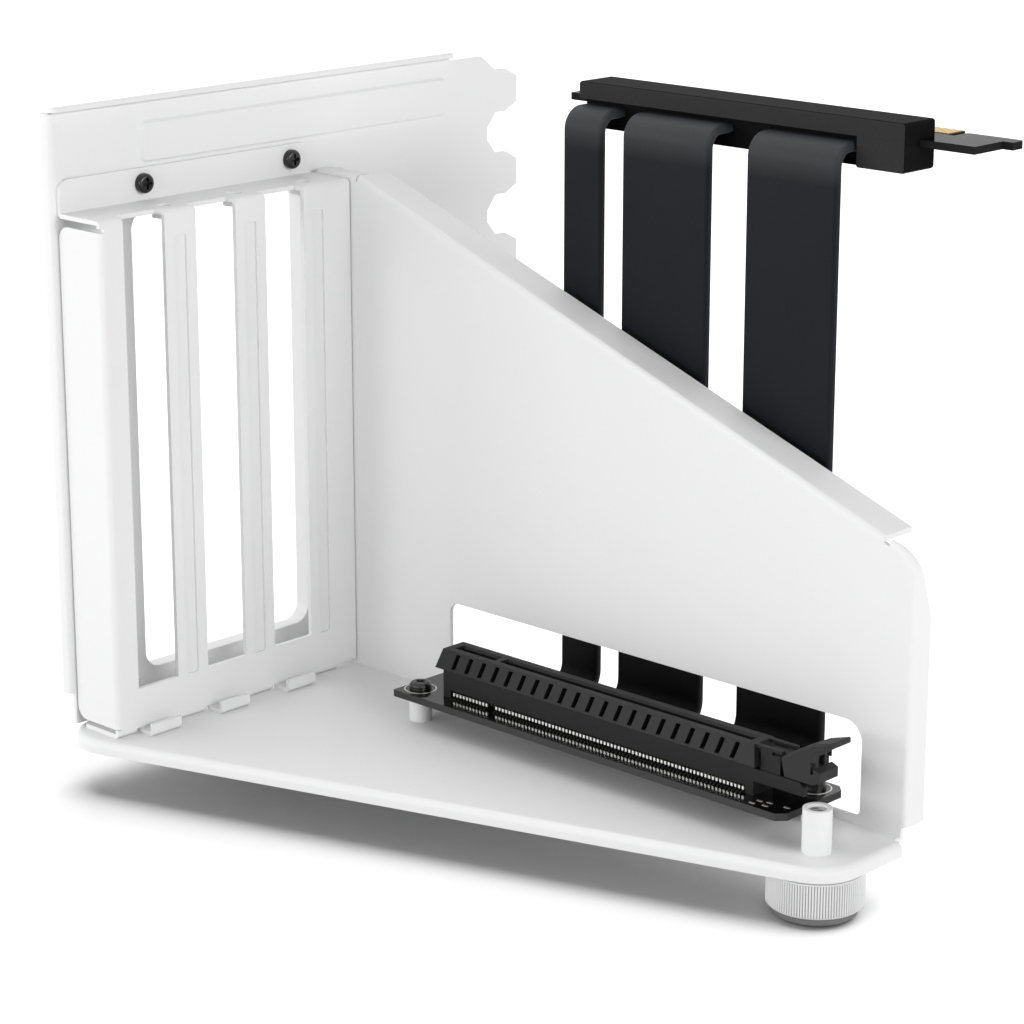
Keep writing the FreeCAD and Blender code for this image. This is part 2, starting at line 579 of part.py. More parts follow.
extrude(main_bracket, "wall", "Y", "0", "sheet_t", [[
    (SEAT_STEP, "-sheet_t"),
    (WALL_END, "-sheet_t"),
    (WALL_END, "end_low"),
    ("wall_l", "end_low"),
    ("wall_l", top_edge("wall_l"), "wall_r"),
    (END_START, top_edge(END_START)),
    (END_START, top_edge(END_START, BEND_OUT)),
    (TOP_END, top_edge(TOP_END, BEND_OUT)),
    (TOP_END, top_edge(TOP_END)),
    (TOP_START, top_edge(TOP_START)),
    (TOP_START, top_edge(TOP_START, RELIEF_D)),
    ("wall_knee", top_edge(TOP_START, RELIEF_D)),
    ("wall_knee", "wall_h"),
    (LEVEL_START, "wall_h"),
    (LEVEL_START, LEVEL_LOW),
    (PLATE_X, LEVEL_LOW),
    (PLATE_X, "seat_low"),
    (SEAT_STEP, "seat_low"),
]])
extrude(main_bracket, "top_flange", "Y", "0", "top_d", [[
    (TOP_START, top_edge(TOP_START, "sheet_t")),
    (TOP_END, top_edge(TOP_END, "sheet_t")),
    (TOP_END, top_edge(TOP_END)),
    (TOP_START, top_edge(TOP_START)),
]])
extrude(main_bracket, "level_flange", "Y", "0", "level_d",
        [box(LEVEL_START, "wall_h - sheet_t", "wall_knee", "wall_h")])
extrude(main_bracket, "end_flange", "Y", "0", "end_d", [[
    ("wall_l", "end_low"),
    ("wall_l", top_edge("wall_l"), "wall_r"),
    (END_START, top_edge(END_START)),
    (END_START, top_edge(END_START, "sheet_t")),
    (END_IN, top_edge(END_IN, "sheet_t"), "wall_r - sheet_t"),
    (END_IN, "end_low"),
]])
END_TOP = top_edge(END_START)
extrude(main_bracket, "end_flange_taper", "X", TOP_END, "wall_l", [[
    ("end_d", "end_high"),
    ("end_d + relief_w", "end_high"),
    ("end_d + relief_w", f"{END_TOP} + relief_w"),
    (BEND_OUT, f"{END_TOP} + relief_w"),
    (BEND_OUT, END_TOP),
]], cut=True)
extrude(main_bracket, "seat_flange", "X", PLATE_X, f"{PLATE_X} + sheet_t",
        [box("0", "seat_low", "seat_w", LEVEL_LOW, None, "end_r", "end_r", None)])
extrude(main_bracket, "rear_tab", "X", TAIL_X, PLATE_BACK,
        [box(TAB_START, "-sheet_t", "-tab_gap", "tab_h", None, None, "end_r", "end_r")])
MID_TOP = f"(({TOP_START} + {TOP_END}) / 2)"
MID_LEVEL = f"(({LEVEL_START} + wall_knee) / 2)"
MID_END = "((end_low + end_high) / 2)"
MID_SEAT = "((seat_low + wall_h) / 2)"
MID_TAB = f"(({TAB_START} - tab_gap) / 2)"
round_edges(main_bracket, "bends_outside", BEND_OUT, [
    (MID_X, "sheet_t", "-sheet_t"),
    (MID_TOP, "0", top_edge(MID_TOP)),
    ("wall_l", "0", MID_END),
    (PLATE_X, "0", MID_SEAT),
    (TAIL_X, MID_TAB, "-sheet_t"),
])
round_edges(main_bracket, "bends_inside", "bend_r", [
    (MID_X, "0", "0"),
    (MID_TOP, "sheet_t", top_edge(MID_TOP, "sheet_t")),
    ("wall_l - sheet_t", "sheet_t", MID_END),
    (f"{PLATE_X} + sheet_t", "sheet_t", MID_SEAT),
    (PLATE_BACK, MID_TAB, "0"),
])
round_edges(main_bracket, "level_bend_outside", BEND_OUT, [(MID_LEVEL, "0", "wall_h")])
round_edges(main_bracket, "level_bend_inside", "bend_r", [(MID_LEVEL, "sheet_t", "wall_h - sheet_t")])
extrude(main_bracket, "cable_window", "Y", "0", "sheet_t",
        [box("pass_x", "pass_z", "pass_x + pass_w", "pass_z + pass_h",
             "pass_r", "pass_low_r", "pass_end_r", "pass_r")], cut=True)
SOLE_Y = f"({OPENING_Y} + catch_in + catch_w + relief_w)"
SOLE_W = "(slot_pitch - catch_w - 2 * relief_w)"
SOLE_RIVET_Y = f"({SOLE_Y} + {SOLE_W} / 2)"
extrude(main_bracket, "base_holes", "Z", "-sheet_t", "0", circles=[
    (FOOT_X, FOOT_Y, "bush_pin_r + fit_gap"),
    (*REAR_HOLE, "stand_pin_r + fit_gap"),
    (*FRONT_HOLE, "stand_pin_r + fit_gap"),
], cut=True)
sole_hole = extrude(main_bracket, "sole_rivet_hole", "Z", "-sheet_t", "0",
                    circles=[("-sole_rivet_x", SOLE_RIVET_Y, RIVET_HOLE)], cut=True)
repeat(main_bracket, "sole_rivet_holes", [sole_hole], "Y", "slot_pitch", "slots")
TAB_RIVET_Y = f"({TAB_START} + tab_rivet_in)"
tab_hole = extrude(main_bracket, "tab_rivet_hole", "X", TAIL_X, PLATE_BACK,
                   circles=[(TAB_RIVET_Y, "tab_rivet_z", RIVET_HOLE)], cut=True)
repeat(main_bracket, "tab_rivet_holes", [tab_hole], "Y", "tab_rivet_pitch", "3")
seat_hole = extrude(main_bracket, "seat_rivet_hole", "X", PLATE_X, f"{PLATE_X} + sheet_t",
                    circles=[("seat_rivet_y", "seat_rivet_z", RIVET_HOLE)], cut=True)
repeat(main_bracket, "seat_rivet_holes", [seat_hole], "Z", "seat_rivet_pitch", "3")

# Rear plate: comb along one edge, lipped window, pressed bead, lip and side flange
rear_plate = new_body("rear_plate")
EDGE_Y = f"({FACE_LEFT} - plate_over)"
EDGE_IN = f"({EDGE_Y} + {BEND_OUT})"
EDGE_TOP = f"(plate_h - {BEND_OUT} - 2 * edge_gap)"
PLAIN_Z = "(plate_h - plain_drop)"
ROOT_Y = "(comb_y - notch_d + notch_in)"
extrude(rear_plate, "plate", "X", PLATE_BACK, PLATE_X, [[
    (EDGE_IN, PLATE_Z),
    ("comb_y - tooth_cut", PLATE_Z),
    ("comb_y", f"{PLATE_Z} + tooth_drop"),
    ("comb_y", "comb_top - tooth_drop"),
    ("comb_y - tooth_cut", "comb_top"),
    (ROOT_Y, "comb_top"),
    (f"{ROOT_Y} - shoulder_w", PLAIN_Z),
    ("lip_end", PLAIN_Z),
    ("lip_end", "plate_h"),
    (EDGE_Y, "plate_h"),
    (EDGE_Y, f"{EDGE_TOP} + edge_gap"),
    (EDGE_IN, f"{EDGE_TOP} + edge_gap"),
    (EDGE_IN, EDGE_TOP),
    (EDGE_Y, EDGE_TOP),
    (EDGE_Y, "edge_low"),
    (EDGE_IN, "edge_low"),
]])
extrude(rear_plate, "top_lip", "Z", "plate_h - sheet_t", "plate_h",
        [box(PLATE_BACK, EDGE_Y, f"{PLATE_X} + lip_d", "lip_end",
             None, "lip_d / 2", "lip_d / 2", None)])
extrude(rear_plate, "side_flange", "Y", EDGE_Y, f"{EDGE_Y} + sheet_t",
        [box(f"{PLATE_X} - edge_d", "edge_low", PLATE_X, EDGE_TOP)])
MID_LIP = f"(({EDGE_IN} + lip_end) / 2)"
MID_EDGE = f"((edge_low + {EDGE_TOP}) / 2)"
round_edges(rear_plate, "bends_outside", BEND_OUT,
            [(PLATE_BACK, MID_LIP, "plate_h"), (PLATE_X, EDGE_Y, MID_EDGE)])
round_edges(rear_plate, "bends_inside", "bend_r",
            [(PLATE_X, MID_LIP, "plate_h - sheet_t"), (PLATE_BACK, f"{EDGE_Y} + sheet_t", MID_EDGE)])
WIN_LEFT = "(-win_gap - win_w)"
WIN_TOP = "(win_z + win_h)"
extrude(rear_plate, "window_lip", "X", f"{PLATE_X} - win_lip", PLATE_X,
        [box(f"{WIN_LEFT} - sheet_t", "win_z - sheet_t", "sheet_t - win_gap", f"{WIN_TOP} + sheet_t",
             "win_r + sheet_t")])
extrude(rear_plate, "window", "X", f"{PLATE_X} - win_lip", PLATE_X,
        [box(WIN_LEFT, "win_z", "-win_gap", WIN_TOP, "win_r")], cut=True)
MID_WIN = "(win_z + win_h / 2)"
round_edges(rear_plate, "window_edge", "bend_r", [(PLATE_X, WIN_LEFT, MID_WIN)])
BEAD_Y = f"({EDGE_Y} + bead_in)"
BEAD = box(BEAD_Y, "bead_z", f"{BEAD_Y} + bead_l", "bead_z + bead_h", "bead_r")
BEAD_BACK = box(f"{BEAD_Y} + sheet_t / 2", "bead_z + sheet_t / 2", f"{BEAD_Y} + bead_l - sheet_t / 2",
                "bead_z + bead_h - sheet_t / 2", "bead_r - sheet_t / 2")
extrude(rear_plate, "bead", "X", PLATE_X, f"{PLATE_X} + bead_d", [BEAD], taper="-45")
extrude(rear_plate, "bead_hollow", "X", PLATE_BACK, f"{PLATE_BACK} + bead_d", [BEAD_BACK], cut=True)
NOTCH_TOP = "(comb_top - slot_pitch + notch_h)"
NOTCH_LOW = "(comb_top - slot_pitch)"
notch = extrude(rear_plate, "comb_notch", "X", PLATE_BACK, PLATE_X, [[
    ("comb_y", f"{NOTCH_LOW} - tooth_drop"),
    ("comb_y + relief_w", f"{NOTCH_LOW} - tooth_drop"),
    ("comb_y + relief_w", f"{NOTCH_TOP} + tooth_drop"),
    ("comb_y", f"{NOTCH_TOP} + tooth_drop"),
    ("comb_y - tooth_cut", NOTCH_TOP),
    (ROOT_Y, NOTCH_TOP),
    ("comb_y - notch_d", f"{NOTCH_TOP} - notch_slope"),
    ("comb_y - notch_d", f"{NOTCH_LOW} + notch_slope"),
    (ROOT_Y, NOTCH_LOW),
    ("comb_y - tooth_cut", NOTCH_LOW),
]], cut=True)
repeat(rear_plate, "comb", [notch], "Z", "slot_pitch", "notches", reverse=True)
plate_screw = extrude(rear_plate, "screw_holes", "X", PLATE_BACK, PLATE_X, circles=[
    (SCREW_Y, SCREW_Z, SCREW_HOLE),
    (f"{SCREW_Y} - screw_span", SCREW_Z, SCREW_HOLE),
], cut=True)
plate_tab_hole = extrude(rear_plate, "tab_rivet_hole", "X", PLATE_BACK, PLATE_X,
                         circles=[(TAB_RIVET_Y, "tab_rivet_z", RIVET_HOLE)], cut=True)
repeat(rear_plate, "tab_rivet_holes", [plate_tab_hole], "Y", "tab_rivet_pitch", "3")
plate_seat_hole = extrude(rear_plate, "seat_rivet_hole", "X", PLATE_BACK, PLATE_X,
                          circles=[("seat_rivet_y", "seat_rivet_z", RIVET_HOLE)], cut=True)
repeat(rear_plate, "seat_rivet_holes", [plate_seat_hole], "Z", "seat_rivet_pitch", "3")

# Slot bracket: face with three openings, screw shelf, upright flange, side wall, catches and sole
slot_bracket = new_body("gpu_slot_bracket")
SIDE_TOP = "(face_h - side_drop)"
SIDE_IN = f"({FACE_LEFT} + {BEND_OUT})"
extrude(slot_bracket, "face", "X", "-sheet_t", "0", [[
    (FACE_LEFT, BEND_OUT),
    (FACE_RIGHT, BEND_OUT),
    (FACE_RIGHT, "face_h"),
    (FACE_LEFT, "face_h"),
    (FACE_LEFT, f"{SIDE_TOP} + relief_w"),
    (SIDE_IN, f"{SIDE_TOP} + relief_w"),
    (SIDE_IN, SIDE_TOP),
    (FACE_LEFT, SIDE_TOP),
    (FACE_LEFT, "side_low"),
    (SIDE_IN, "side_low"),
    (SIDE_IN, "side_low - edge_gap"),
    (FACE_LEFT, "side_low - edge_gap"),
]])
extrude(slot_bracket, "shelf", "Z", "face_h - sheet_t", "face_h",
        [box(PLATE_X, FACE_LEFT, "0", FACE_RIGHT)])
extrude(slot_bracket, "upright", "X", PLATE_X, "-shelf_d",
        [box(FACE_LEFT, "face_h - sheet_t", FACE_RIGHT, "face_h + flange_h",
             None, None, "flange_r", "flange_r")])
extrude(slot_bracket, "side_wall", "Y", FACE_LEFT, f"{FACE_LEFT} + sheet_t",
        [box(f"{PLATE_X} + side_gap", "side_low", "0", SIDE_TOP, "side_r", None, None, "side_r")])
MID_FACE = f"(({FACE_LEFT} + {FACE_RIGHT}) / 2)"
MID_SIDE = f"((side_low + {SIDE_TOP}) / 2)"
round_edges(slot_bracket, "bends_outside", BEND_OUT, [
    ("0", MID_FACE, "face_h"),
    (PLATE_X, MID_FACE, "face_h - sheet_t"),
    ("0", FACE_LEFT, MID_SIDE),
])
round_edges(slot_bracket, "bends_inside", "bend_r", [
    ("-sheet_t", MID_FACE, "face_h - sheet_t"),
    ("-shelf_d", MID_FACE, "face_h"),
    ("-sheet_t", f"{FACE_LEFT} + sheet_t", MID_SIDE),
])
CATCH_Y = f"({OPENING_Y} + catch_in)"
catch = extrude(slot_bracket, "catch", "Y", CATCH_Y, f"{CATCH_Y} + catch_w", [[
    ("-sheet_t", BEND_OUT + " + sheet_t"),
    ("-sheet_t", "0", BEND_OUT),
    ("catch_d", "0", BEND_OUT),
    ("catch_d", "catch_h"),
    ("catch_d - sheet_t", "catch_h"),
    ("catch_d - sheet_t", "sheet_t", "bend_r"),
    ("0", "sheet_t", "bend_r"),
    ("0", BEND_OUT + " + sheet_t"),
]])
SOLE = [
    ("0", BEND_OUT + " + edge_gap"),
    ("0", "0", BEND_OUT),
    ("-sole_d", "0"),
    ("-sole_d", "sheet_t"),
    ("-sheet_t", "sheet_t", "bend_r"),
    ("-sheet_t", BEND_OUT + " + edge_gap"),
]
extrude(slot_bracket, "end_sole", "Y", FACE_LEFT, f"{CATCH_Y} - relief_w", [SOLE])
sole = extrude(slot_bracket, "sole", "Y", SOLE_Y, f"{SOLE_Y} + {SOLE_W}", [SOLE])
opening = extrude(slot_bracket, "opening", "X", "-opening_d", "0",
                  [box(OPENING_Y, "opening_z", f"{OPENING_Y} + opening_w", "face_h",
                       "opening_r", "opening_r", None, None)], cut=True)
GROOVE_Y = f"({OPENING_Y} + opening_w + groove_gap)"
swell = extrude(slot_bracket, "groove_back", "X", "-sheet_t - groove_d", "-sheet_t",
                [box(f"{GROOVE_Y} - groove_d", "groove_z - groove_d", f"{GROOVE_Y} + groove_w + groove_d",
                     "groove_z + groove_h + groove_d", "groove_r + groove_d")])
groove = extrude(slot_bracket, "groove", "X", "-groove_d", "0",
                 [box(GROOVE_Y, "groove_z", f"{GROOVE_Y} + groove_w", "groove_z + groove_h", "groove_r")],
                 cut=True)
SHELF_HOLE_Y = f"({OPENING_Y} + opening_w + shelf_hole_gap)"
collar = extrude(slot_bracket, "collar", "Z", "face_h - sheet_t - collar_h", "face_h - sheet_t",
                 circles=[("-shelf_hole_x", SHELF_HOLE_Y, "collar_r")])
card_hole = extrude(slot_bracket, "card_screw_hole", "Z", "face_h - sheet_t - collar_h", "face_h",
                    circles=[("-shelf_hole_x", SHELF_HOLE_Y, "shelf_hole_r")], cut=True)
sole_rivet = extrude(slot_bracket, "sole_rivet_hole", "Z", "0", "sheet_t",
                     circles=[("-sole_rivet_x", SOLE_RIVET_Y, RIVET_HOLE)], cut=True)
repeat(slot_bracket, "slot_row", [catch, sole, opening, swell, groove, collar, card_hole, sole_rivet],
       "Y", "slot_pitch", "slots")
extrude(slot_bracket, "screw_holes", "X", PLATE_X, "-shelf_d", circles=[
    (SCREW_Y, SCREW_Z, SCREW_HOLE),
    (f"{SCREW_Y} - screw_span", SCREW_Z, SCREW_HOLE),
], cut=True)


def pan_head_screw(body, shank, head):
    """A pan-head screw seated on the body's XY plane, its shank below, with a cross recess."""
    turned = revolve(body, "screw", [
        ("0", minus(shank)),
        ("screw_r - fit_gap * 4", minus(shank)),
        ("screw_r", f"fit_gap * 4 - ({shank})"),
        ("screw_r", "0"),
        (head, "0"),
        (head, "head_h", "head_h / 2"),
        ("0", "head_h"),
    ])
    recess = extrude(body, "cross_recess", "Z", "head_h - cross_d", "head_h", [
        [("cross_w / 2", "cross_w / 2"), ("cross_l / 2", "cross_w / 2"), ("cross_l / 2", "-cross_w / 2"),
         ("cross_w / 2", "-cross_w / 2"), ("cross_w / 2", "-cross_l / 2"), ("-cross_w / 2", "-cross_l / 2"),
         ("-cross_w / 2", "-cross_w / 2"), ("-cross_l / 2", "-cross_w / 2"), ("-cross_l / 2", "cross_w / 2"),
         ("-cross_w / 2", "cross_w / 2"), ("-cross_w / 2", "cross_l / 2"), ("cross_w / 2", "cross_l / 2")],
    ], cut=True)
    return [turned, recess]


# Two screws that hold the upright flange on the rear plate
bracket_screws = new_body("bracket_screws", ("-shelf_d", SCREW_Y, SCREW_Z), turn=90)
repeat(bracket_screws, "pair", pan_head_screw(bracket_screws, "screw_l", "top_head_r"),
       "Y", "screw_span", "2", reverse=True)


def rivets(label, base, axis, pitch, turn=None, reverse=False):
    """Three rivets through two sheets, heads on the body's XY plane, tails above."""
    body = new_body(label, base, turn)
    rivet = revolve(body, "rivet", [
        ("0", "-rivet_head_h"),
        ("rivet_r", "-rivet_head_h"),
        ("(rivet_r + 2 * rivet_head_r) / 3", "-rivet_head_h * 0.7"),
        ("rivet_head_r", "0"),
        ("rivet_r", "0"),
        ("rivet_r", "2 * sheet_t"),
        ("rivet_tail_r", "2 * sheet_t"),
        ("rivet_tail_r", "2 * sheet_t + rivet_tail_h"),
        ("0", "2 * sheet_t + rivet_tail_h"),
    ])
    repeat(body, "row", [rivet], axis, pitch, "3", reverse)
    return body


# Rivets of the tab, of the wall's flange and of the slot bracket's sole
tab_rivets = rivets("tab_rivets", (TAIL_X, TAB_RIVET_Y, "tab_rivet_z"), "Y", "tab_rivet_pitch", turn=90)
wall_rivets = rivets("wall_rivets", (PLATE_BACK, "seat_rivet_y", "seat_rivet_z"), "X", "seat_rivet_pitch",
                     turn=90, reverse=True)
base_rivets = rivets("base_rivets", ("-sole_rivet_x", SOLE_RIVET_Y, "-sheet_t"), "Y", "slot_pitch")

# Riser board on two clinched standoffs
riser_board = new_body("riser_board")
extrude(riser_board, "board", "Z", "stand_h", BOARD_TOP,
        [[("board_x", BOARD_FRONT), ("board_x + board_l - board_cut", BOARD_FRONT),
          ("board_x + board_l", f"{BOARD_FRONT} + board_cut"),
          ("board_x + board_l", "-board_gap - board_cut"),
          ("board_x + board_l - board_cut", "-board_gap"), ("board_x", "-board_gap")]],
        [(*REAR_HOLE, SCREW_HOLE), (*FRONT_HOLE, SCREW_HOLE)])

board_standoffs = new_body("board_standoffs")
extrude(board_standoffs, "columns", "Z", "0", "stand_h",
        circles=[(*REAR_HOLE, "stand_r"), (*FRONT_HOLE, "stand_r")])
extrude(board_standoffs, "clinched_ends", "Z", "-sheet_t", "0",
        circles=[(*REAR_HOLE, "stand_pin_r"), (*FRONT_HOLE, "stand_pin_r")])
extrude(board_standoffs, "bores", "Z", "-sheet_t", "stand_h",
        circles=[(*REAR_HOLE, SCREW_HOLE), (*FRONT_HOLE, SCREW_HOLE)], cut=True)

# Two screws that hold the riser board; the second is carried over by its offset from the first
board_screws = new_body("board_screws", (*REAR_HOLE, BOARD_TOP))
pan_head_screw(board_screws, "board_screw_l", "head_r")
REACH_X = f"({FRONT_HOLE[0]} - {REAR_HOLE[0]})"
REACH_Y = f"({FRONT_HOLE[1]} - {REAR_HOLE[1]})"
carry = new_sketch(board_screws, "carry_line", "Z", "0")
carry.addGeometry(Part.LineSegment(FreeCAD.Vector(0, 0, 0),
                                   FreeCAD.Vector(number(REACH_X), number(REACH_Y), 0)), False)
carry.addConstraint(Sketcher.Constraint("Coincident", 0, 1, -1, 1))
fix_point(carry, 0, 2, REACH_X, REACH_Y)
doc.recompute()
screw_pair = board_screws.newObject("PartDesign::LinearPattern", "pair")
screw_pair.Originals = [item for item in board_screws.Group if item.Name.startswith(("screw", "cross_recess"))
                        and item.isDerivedFrom("PartDesign::FeatureAddSub")]
screw_pair.Direction = (carry, ["Edge1"])
screw_pair.Mode = "Spacing"
screw_pair.setExpression("Offset", bound(f"sqrt({REACH_X} * {REACH_X} + {REACH_Y} * {REACH_Y})"))
screw_pair.Occurrences = 2
board_screws.Tip = screw_pair
doc.recompute()

# Card socket: lower wall, flared collar with vents, card slot with its key, and at the end the frame
# for the latch: two lower rails with guide cheeks and a tongue with stub axles between them
socket = new_body("socket_housing")
SOCK_BACK = "(sock_w / 2 - sock_y)"
SOCK_LOW = f"({BOARD_TOP} + sock_foot_h)"
SOCK_TOP = f"({BOARD_TOP} + sock_h)"
COLLAR_Z = f"({BOARD_TOP} + collar_z)"
extrude(socket, "lower_wall", "Z", SOCK_LOW, SOCK_TOP, [box("sock_x", SOCK_FRONT, SOCK_END, SOCK_BACK)])
extrude(socket, "collar", "Z", COLLAR_Z, SOCK_TOP,
        [box("sock_x - collar_out", f"{SOCK_FRONT} - collar_out", f"{SOCK_END} + collar_out",
             f"{SOCK_BACK} + collar_out")],
        taper="-atan(collar_out / (sock_h - collar_z))")
extrude(socket, "feet", "Z", BOARD_TOP, SOCK_LOW, [
    box("sock_x", SOCK_FRONT, "sock_x + sock_foot_l", SOCK_BACK),
    box(f"{SOCK_END} - sock_foot_l", SOCK_FRONT, SOCK_END, SOCK_BACK),
])
ROOT_X = f"({SOCK_END} - card_in / 2)"
RAIL_LOW = f"({BOARD_TOP} + rail_low)"
RAIL_TOP = f"({RAIL_LOW} + rail_h)"
RAIL = [
    (ROOT_X, RAIL_LOW),
    (f"{SOCK_END} + rail_l", RAIL_LOW),
    (f"{SOCK_END} + rail_l", f"{RAIL_TOP} - rail_ease"),
    (f"{SOCK_END} + rail_l - rail_ease", RAIL_TOP),
    (ROOT_X, RAIL_TOP),
]
CHEEK_X = f"({SOCK_END} + cheek_x)"
CHEEK_END = f"({CHEEK_X} + cheek_l)"
TOP_RAIL_Z = f"({SOCK_TOP} - top_rail_h)"
CHEEK = [
    (CHEEK_X, RAIL_TOP),
    (CHEEK_END, RAIL_TOP),
    (CHEEK_END, f"{TOP_RAIL_Z} - cheek_cut_h"),
    (f"{CHEEK_END} - cheek_cut_l", f"{TOP_RAIL_Z} - cheek_cut_h"),
    (f"{CHEEK_END} - cheek_cut_l", TOP_RAIL_Z),
    (f"{CHEEK_END} + top_rail_out", TOP_RAIL_Z),
    (f"{CHEEK_END} + top_rail_out", SOCK_TOP),
    (ROOT_X, SOCK_TOP),
    (ROOT_X, TOP_RAIL_Z),
    (CHEEK_X, TOP_RAIL_Z),
]
extrude(socket, "front_rail", "Y", SOCK_FRONT, f"{SOCK_FRONT} + rail_t", [RAIL])
extrude(socket, "back_rail", "Y", f"{SOCK_BACK} - rail_t", SOCK_BACK, [RAIL])
extrude(socket, "front_cheek", "Y", f"{SOCK_FRONT} + cheek_in", f"{SOCK_FRONT} + rail_t", [CHEEK])
extrude(socket, "back_cheek", "Y", f"{SOCK_BACK} - rail_t", f"{SOCK_BACK} - cheek_in", [CHEEK])
extrude(socket, "tongue", "Y", "-sock_y - tongue_w", "tongue_w - sock_y", [[
    (ROOT_X, f"{PIVOT_Z} - tongue_r"),
    (f"{PIVOT_X} + tongue_r", f"{PIVOT_Z} - tongue_r", "tongue_r * 0.9"),
    (f"{PIVOT_X} + tongue_r", f"{PIVOT_Z} + tongue_r", "tongue_r * 0.9"),
    (ROOT_X, f"{PIVOT_Z} + tongue_r"),
]])
extrude(socket, "stub_axles", "Y", "-sock_y - tongue_w - pivot_l", "tongue_w + pivot_l - sock_y",
        circles=[(PIVOT_X, PIVOT_Z, "pivot_r")])
KEY_X = "(sock_x + pin_in + (pins_short - 1) * pin_pitch + key_pitch / 2)"
extrude(socket, "card_slot", "Z", f"{SOCK_TOP} - card_d", SOCK_TOP, [
    box("sock_x + card_in", "-sock_y - card_w / 2", f"{KEY_X} - key_w / 2", "card_w / 2 - sock_y"),
    box(f"{KEY_X} + key_w / 2", "-sock_y - card_w / 2", f"{SOCK_END} - card_in", "card_w / 2 - sock_y"),
], cut=True)
LONG_MID = f"(({KEY_X} + {SOCK_END}) / 2)"
SHORT_MID = f"((sock_x + {KEY_X}) / 2)"
round_edges(socket, "card_lead_in", "card_lead",
            [(x, y, SOCK_TOP) for x in (SHORT_MID, LONG_MID)
             for y in ("-sock_y - card_w / 2", "card_w / 2 - sock_y")], kind="Chamfer")
VENT_X = "(sock_x + vent_in)"
VENT = [
    (VENT_X, f"{COLLAR_Z} + vent_z"),
    (f"{VENT_X} + vent_w", f"{COLLAR_Z} + vent_z"),
    (f"{VENT_X} + vent_w + vent_lean", f"{SOCK_TOP} - vent_z"),
    (f"{VENT_X} + vent_lean", f"{SOCK_TOP} - vent_z"),
]
vent_front = extrude(socket, "vent_front", "Y",
                     f"{SOCK_FRONT} - collar_out", f"{SOCK_FRONT} - collar_out + vent_d",
                     [VENT], cut=True)
vent_back = extrude(socket, "vent_back", "Y",
                    f"{SOCK_BACK} + collar_out - vent_d", f"{SOCK_BACK} + collar_out",
                    [VENT], cut=True)
repeat(socket, "vent_rows", [vent_front, vent_back], "X", "vent_pitch", "vents")

# Solder tails of the socket: a short row, the key's gap and a long row on both sides
contacts = new_body("socket_contacts")


def tail(side):
    """Foot and riser of a contact, on one side of the socket."""
    face = "sock_w / 2"
    across = [("{0} + pin_out", BOARD_TOP), ("{0} + pin_out", f"{BOARD_TOP} + pin_t"),
              ("{0}", f"{BOARD_TOP} + pin_t"), ("{0}", SOCK_LOW),
              ("{0} - pin_t", SOCK_LOW), ("{0} - pin_t", BOARD_TOP)]
    return [(f"{side} * ({u.format(face)}) - sock_y", v) for u, v in across]


PIN_X = "(sock_x + pin_in - pin_w / 2)"
PIN_LONG_X = f"({PIN_X} + (pins_short - 1) * pin_pitch + key_pitch)"
short_pin = extrude(contacts, "short_pin", "X", PIN_X, f"{PIN_X} + pin_w", [tail("-1"), tail("1")])
repeat(contacts, "short_row", [short_pin], "X", "pin_pitch", "pins_short")
long_pin = extrude(contacts, "long_pin", "X", PIN_LONG_X, f"{PIN_LONG_X} + pin_w", [tail("-1"), tail("1")])
repeat(contacts, "long_row", [long_pin], "X", "pin_pitch", "pins_long")

# Latch, drawn from its pivot: a hollow body that rides over the tongue, with a nose and a thumb tab
latch = new_body("socket_latch", (PIVOT_X, "-sock_y", PIVOT_Z))
LATCH_W = "(sock_w / 2 - latch_in)"
THUMB_X = "(latch_end + thumb_l)"
THUMB_Z = "(thumb_z + thumb_rise)"
extrude(latch, "body", "Y", minus(LATCH_W), LATCH_W, [[
    ("latch_lean - latch_front", "-latch_low"),
    ("latch_end", "-latch_low"),
    ("latch_end + lobe_out", "-lobe_low"),
    ("latch_end + lobe_out", "lobe_high"),
    ("latch_end", "lobe_root"),
    ("latch_end", "thumb_low_z"),
    (THUMB_X, f"{THUMB_Z} - thumb_t"),
    (THUMB_X, THUMB_Z),
    ("latch_end", "thumb_z"),
    ("-brow_x", "brow_z"),
    ("-latch_front", "latch_brow"),
]])
round_edges(latch, "thumb_edges", "thumb_bevel",
            [(f"({x}) / 2", y, f"({z}) / 2")
             for y in (minus(LATCH_W), LATCH_W)
             for x, z in (("latch_end + latch_end + thumb_l", f"thumb_z + {THUMB_Z}"),
                          ("latch_end - brow_x", "thumb_z + brow_z"))], kind="Chamfer")
NOSE_Z = "(tongue_r + 2 * latch_gap)"
extrude(latch, "nose", "Y", minus("tongue_w"), "tongue_w", [[
    ("-latch_front - nose_l", NOSE_Z),
    ("latch_lean - latch_front", NOSE_Z),
    ("latch_lean - latch_front", f"{NOSE_Z} + nose_t"),
    ("-latch_front - nose_l + nose_t / 2", f"{NOSE_Z} + nose_t"),
]])
HOLLOW_W = "(tongue_w + latch_gap)"
extrude(latch, "hollow", "Y", minus(HOLLOW_W), HOLLOW_W,
        [box("-latch_front - latch_lean", "-latch_low - latch_gap",
             "tongue_r + latch_gap", "tongue_r + latch_gap")],
        cut=True)
extrude(latch, "axle_holes", "Y", f"-{HOLLOW_W} - pivot_l", f"{HOLLOW_W} + pivot_l",
        circles=[("0", "0", "pivot_r + fit_gap")], cut=True)
POCKET_Y = f"({LATCH_W} - slit_d / 2)"
POCKET_RIB_Y = f"({POCKET_Y} - pocket_narrow_w - pocket_rib)"
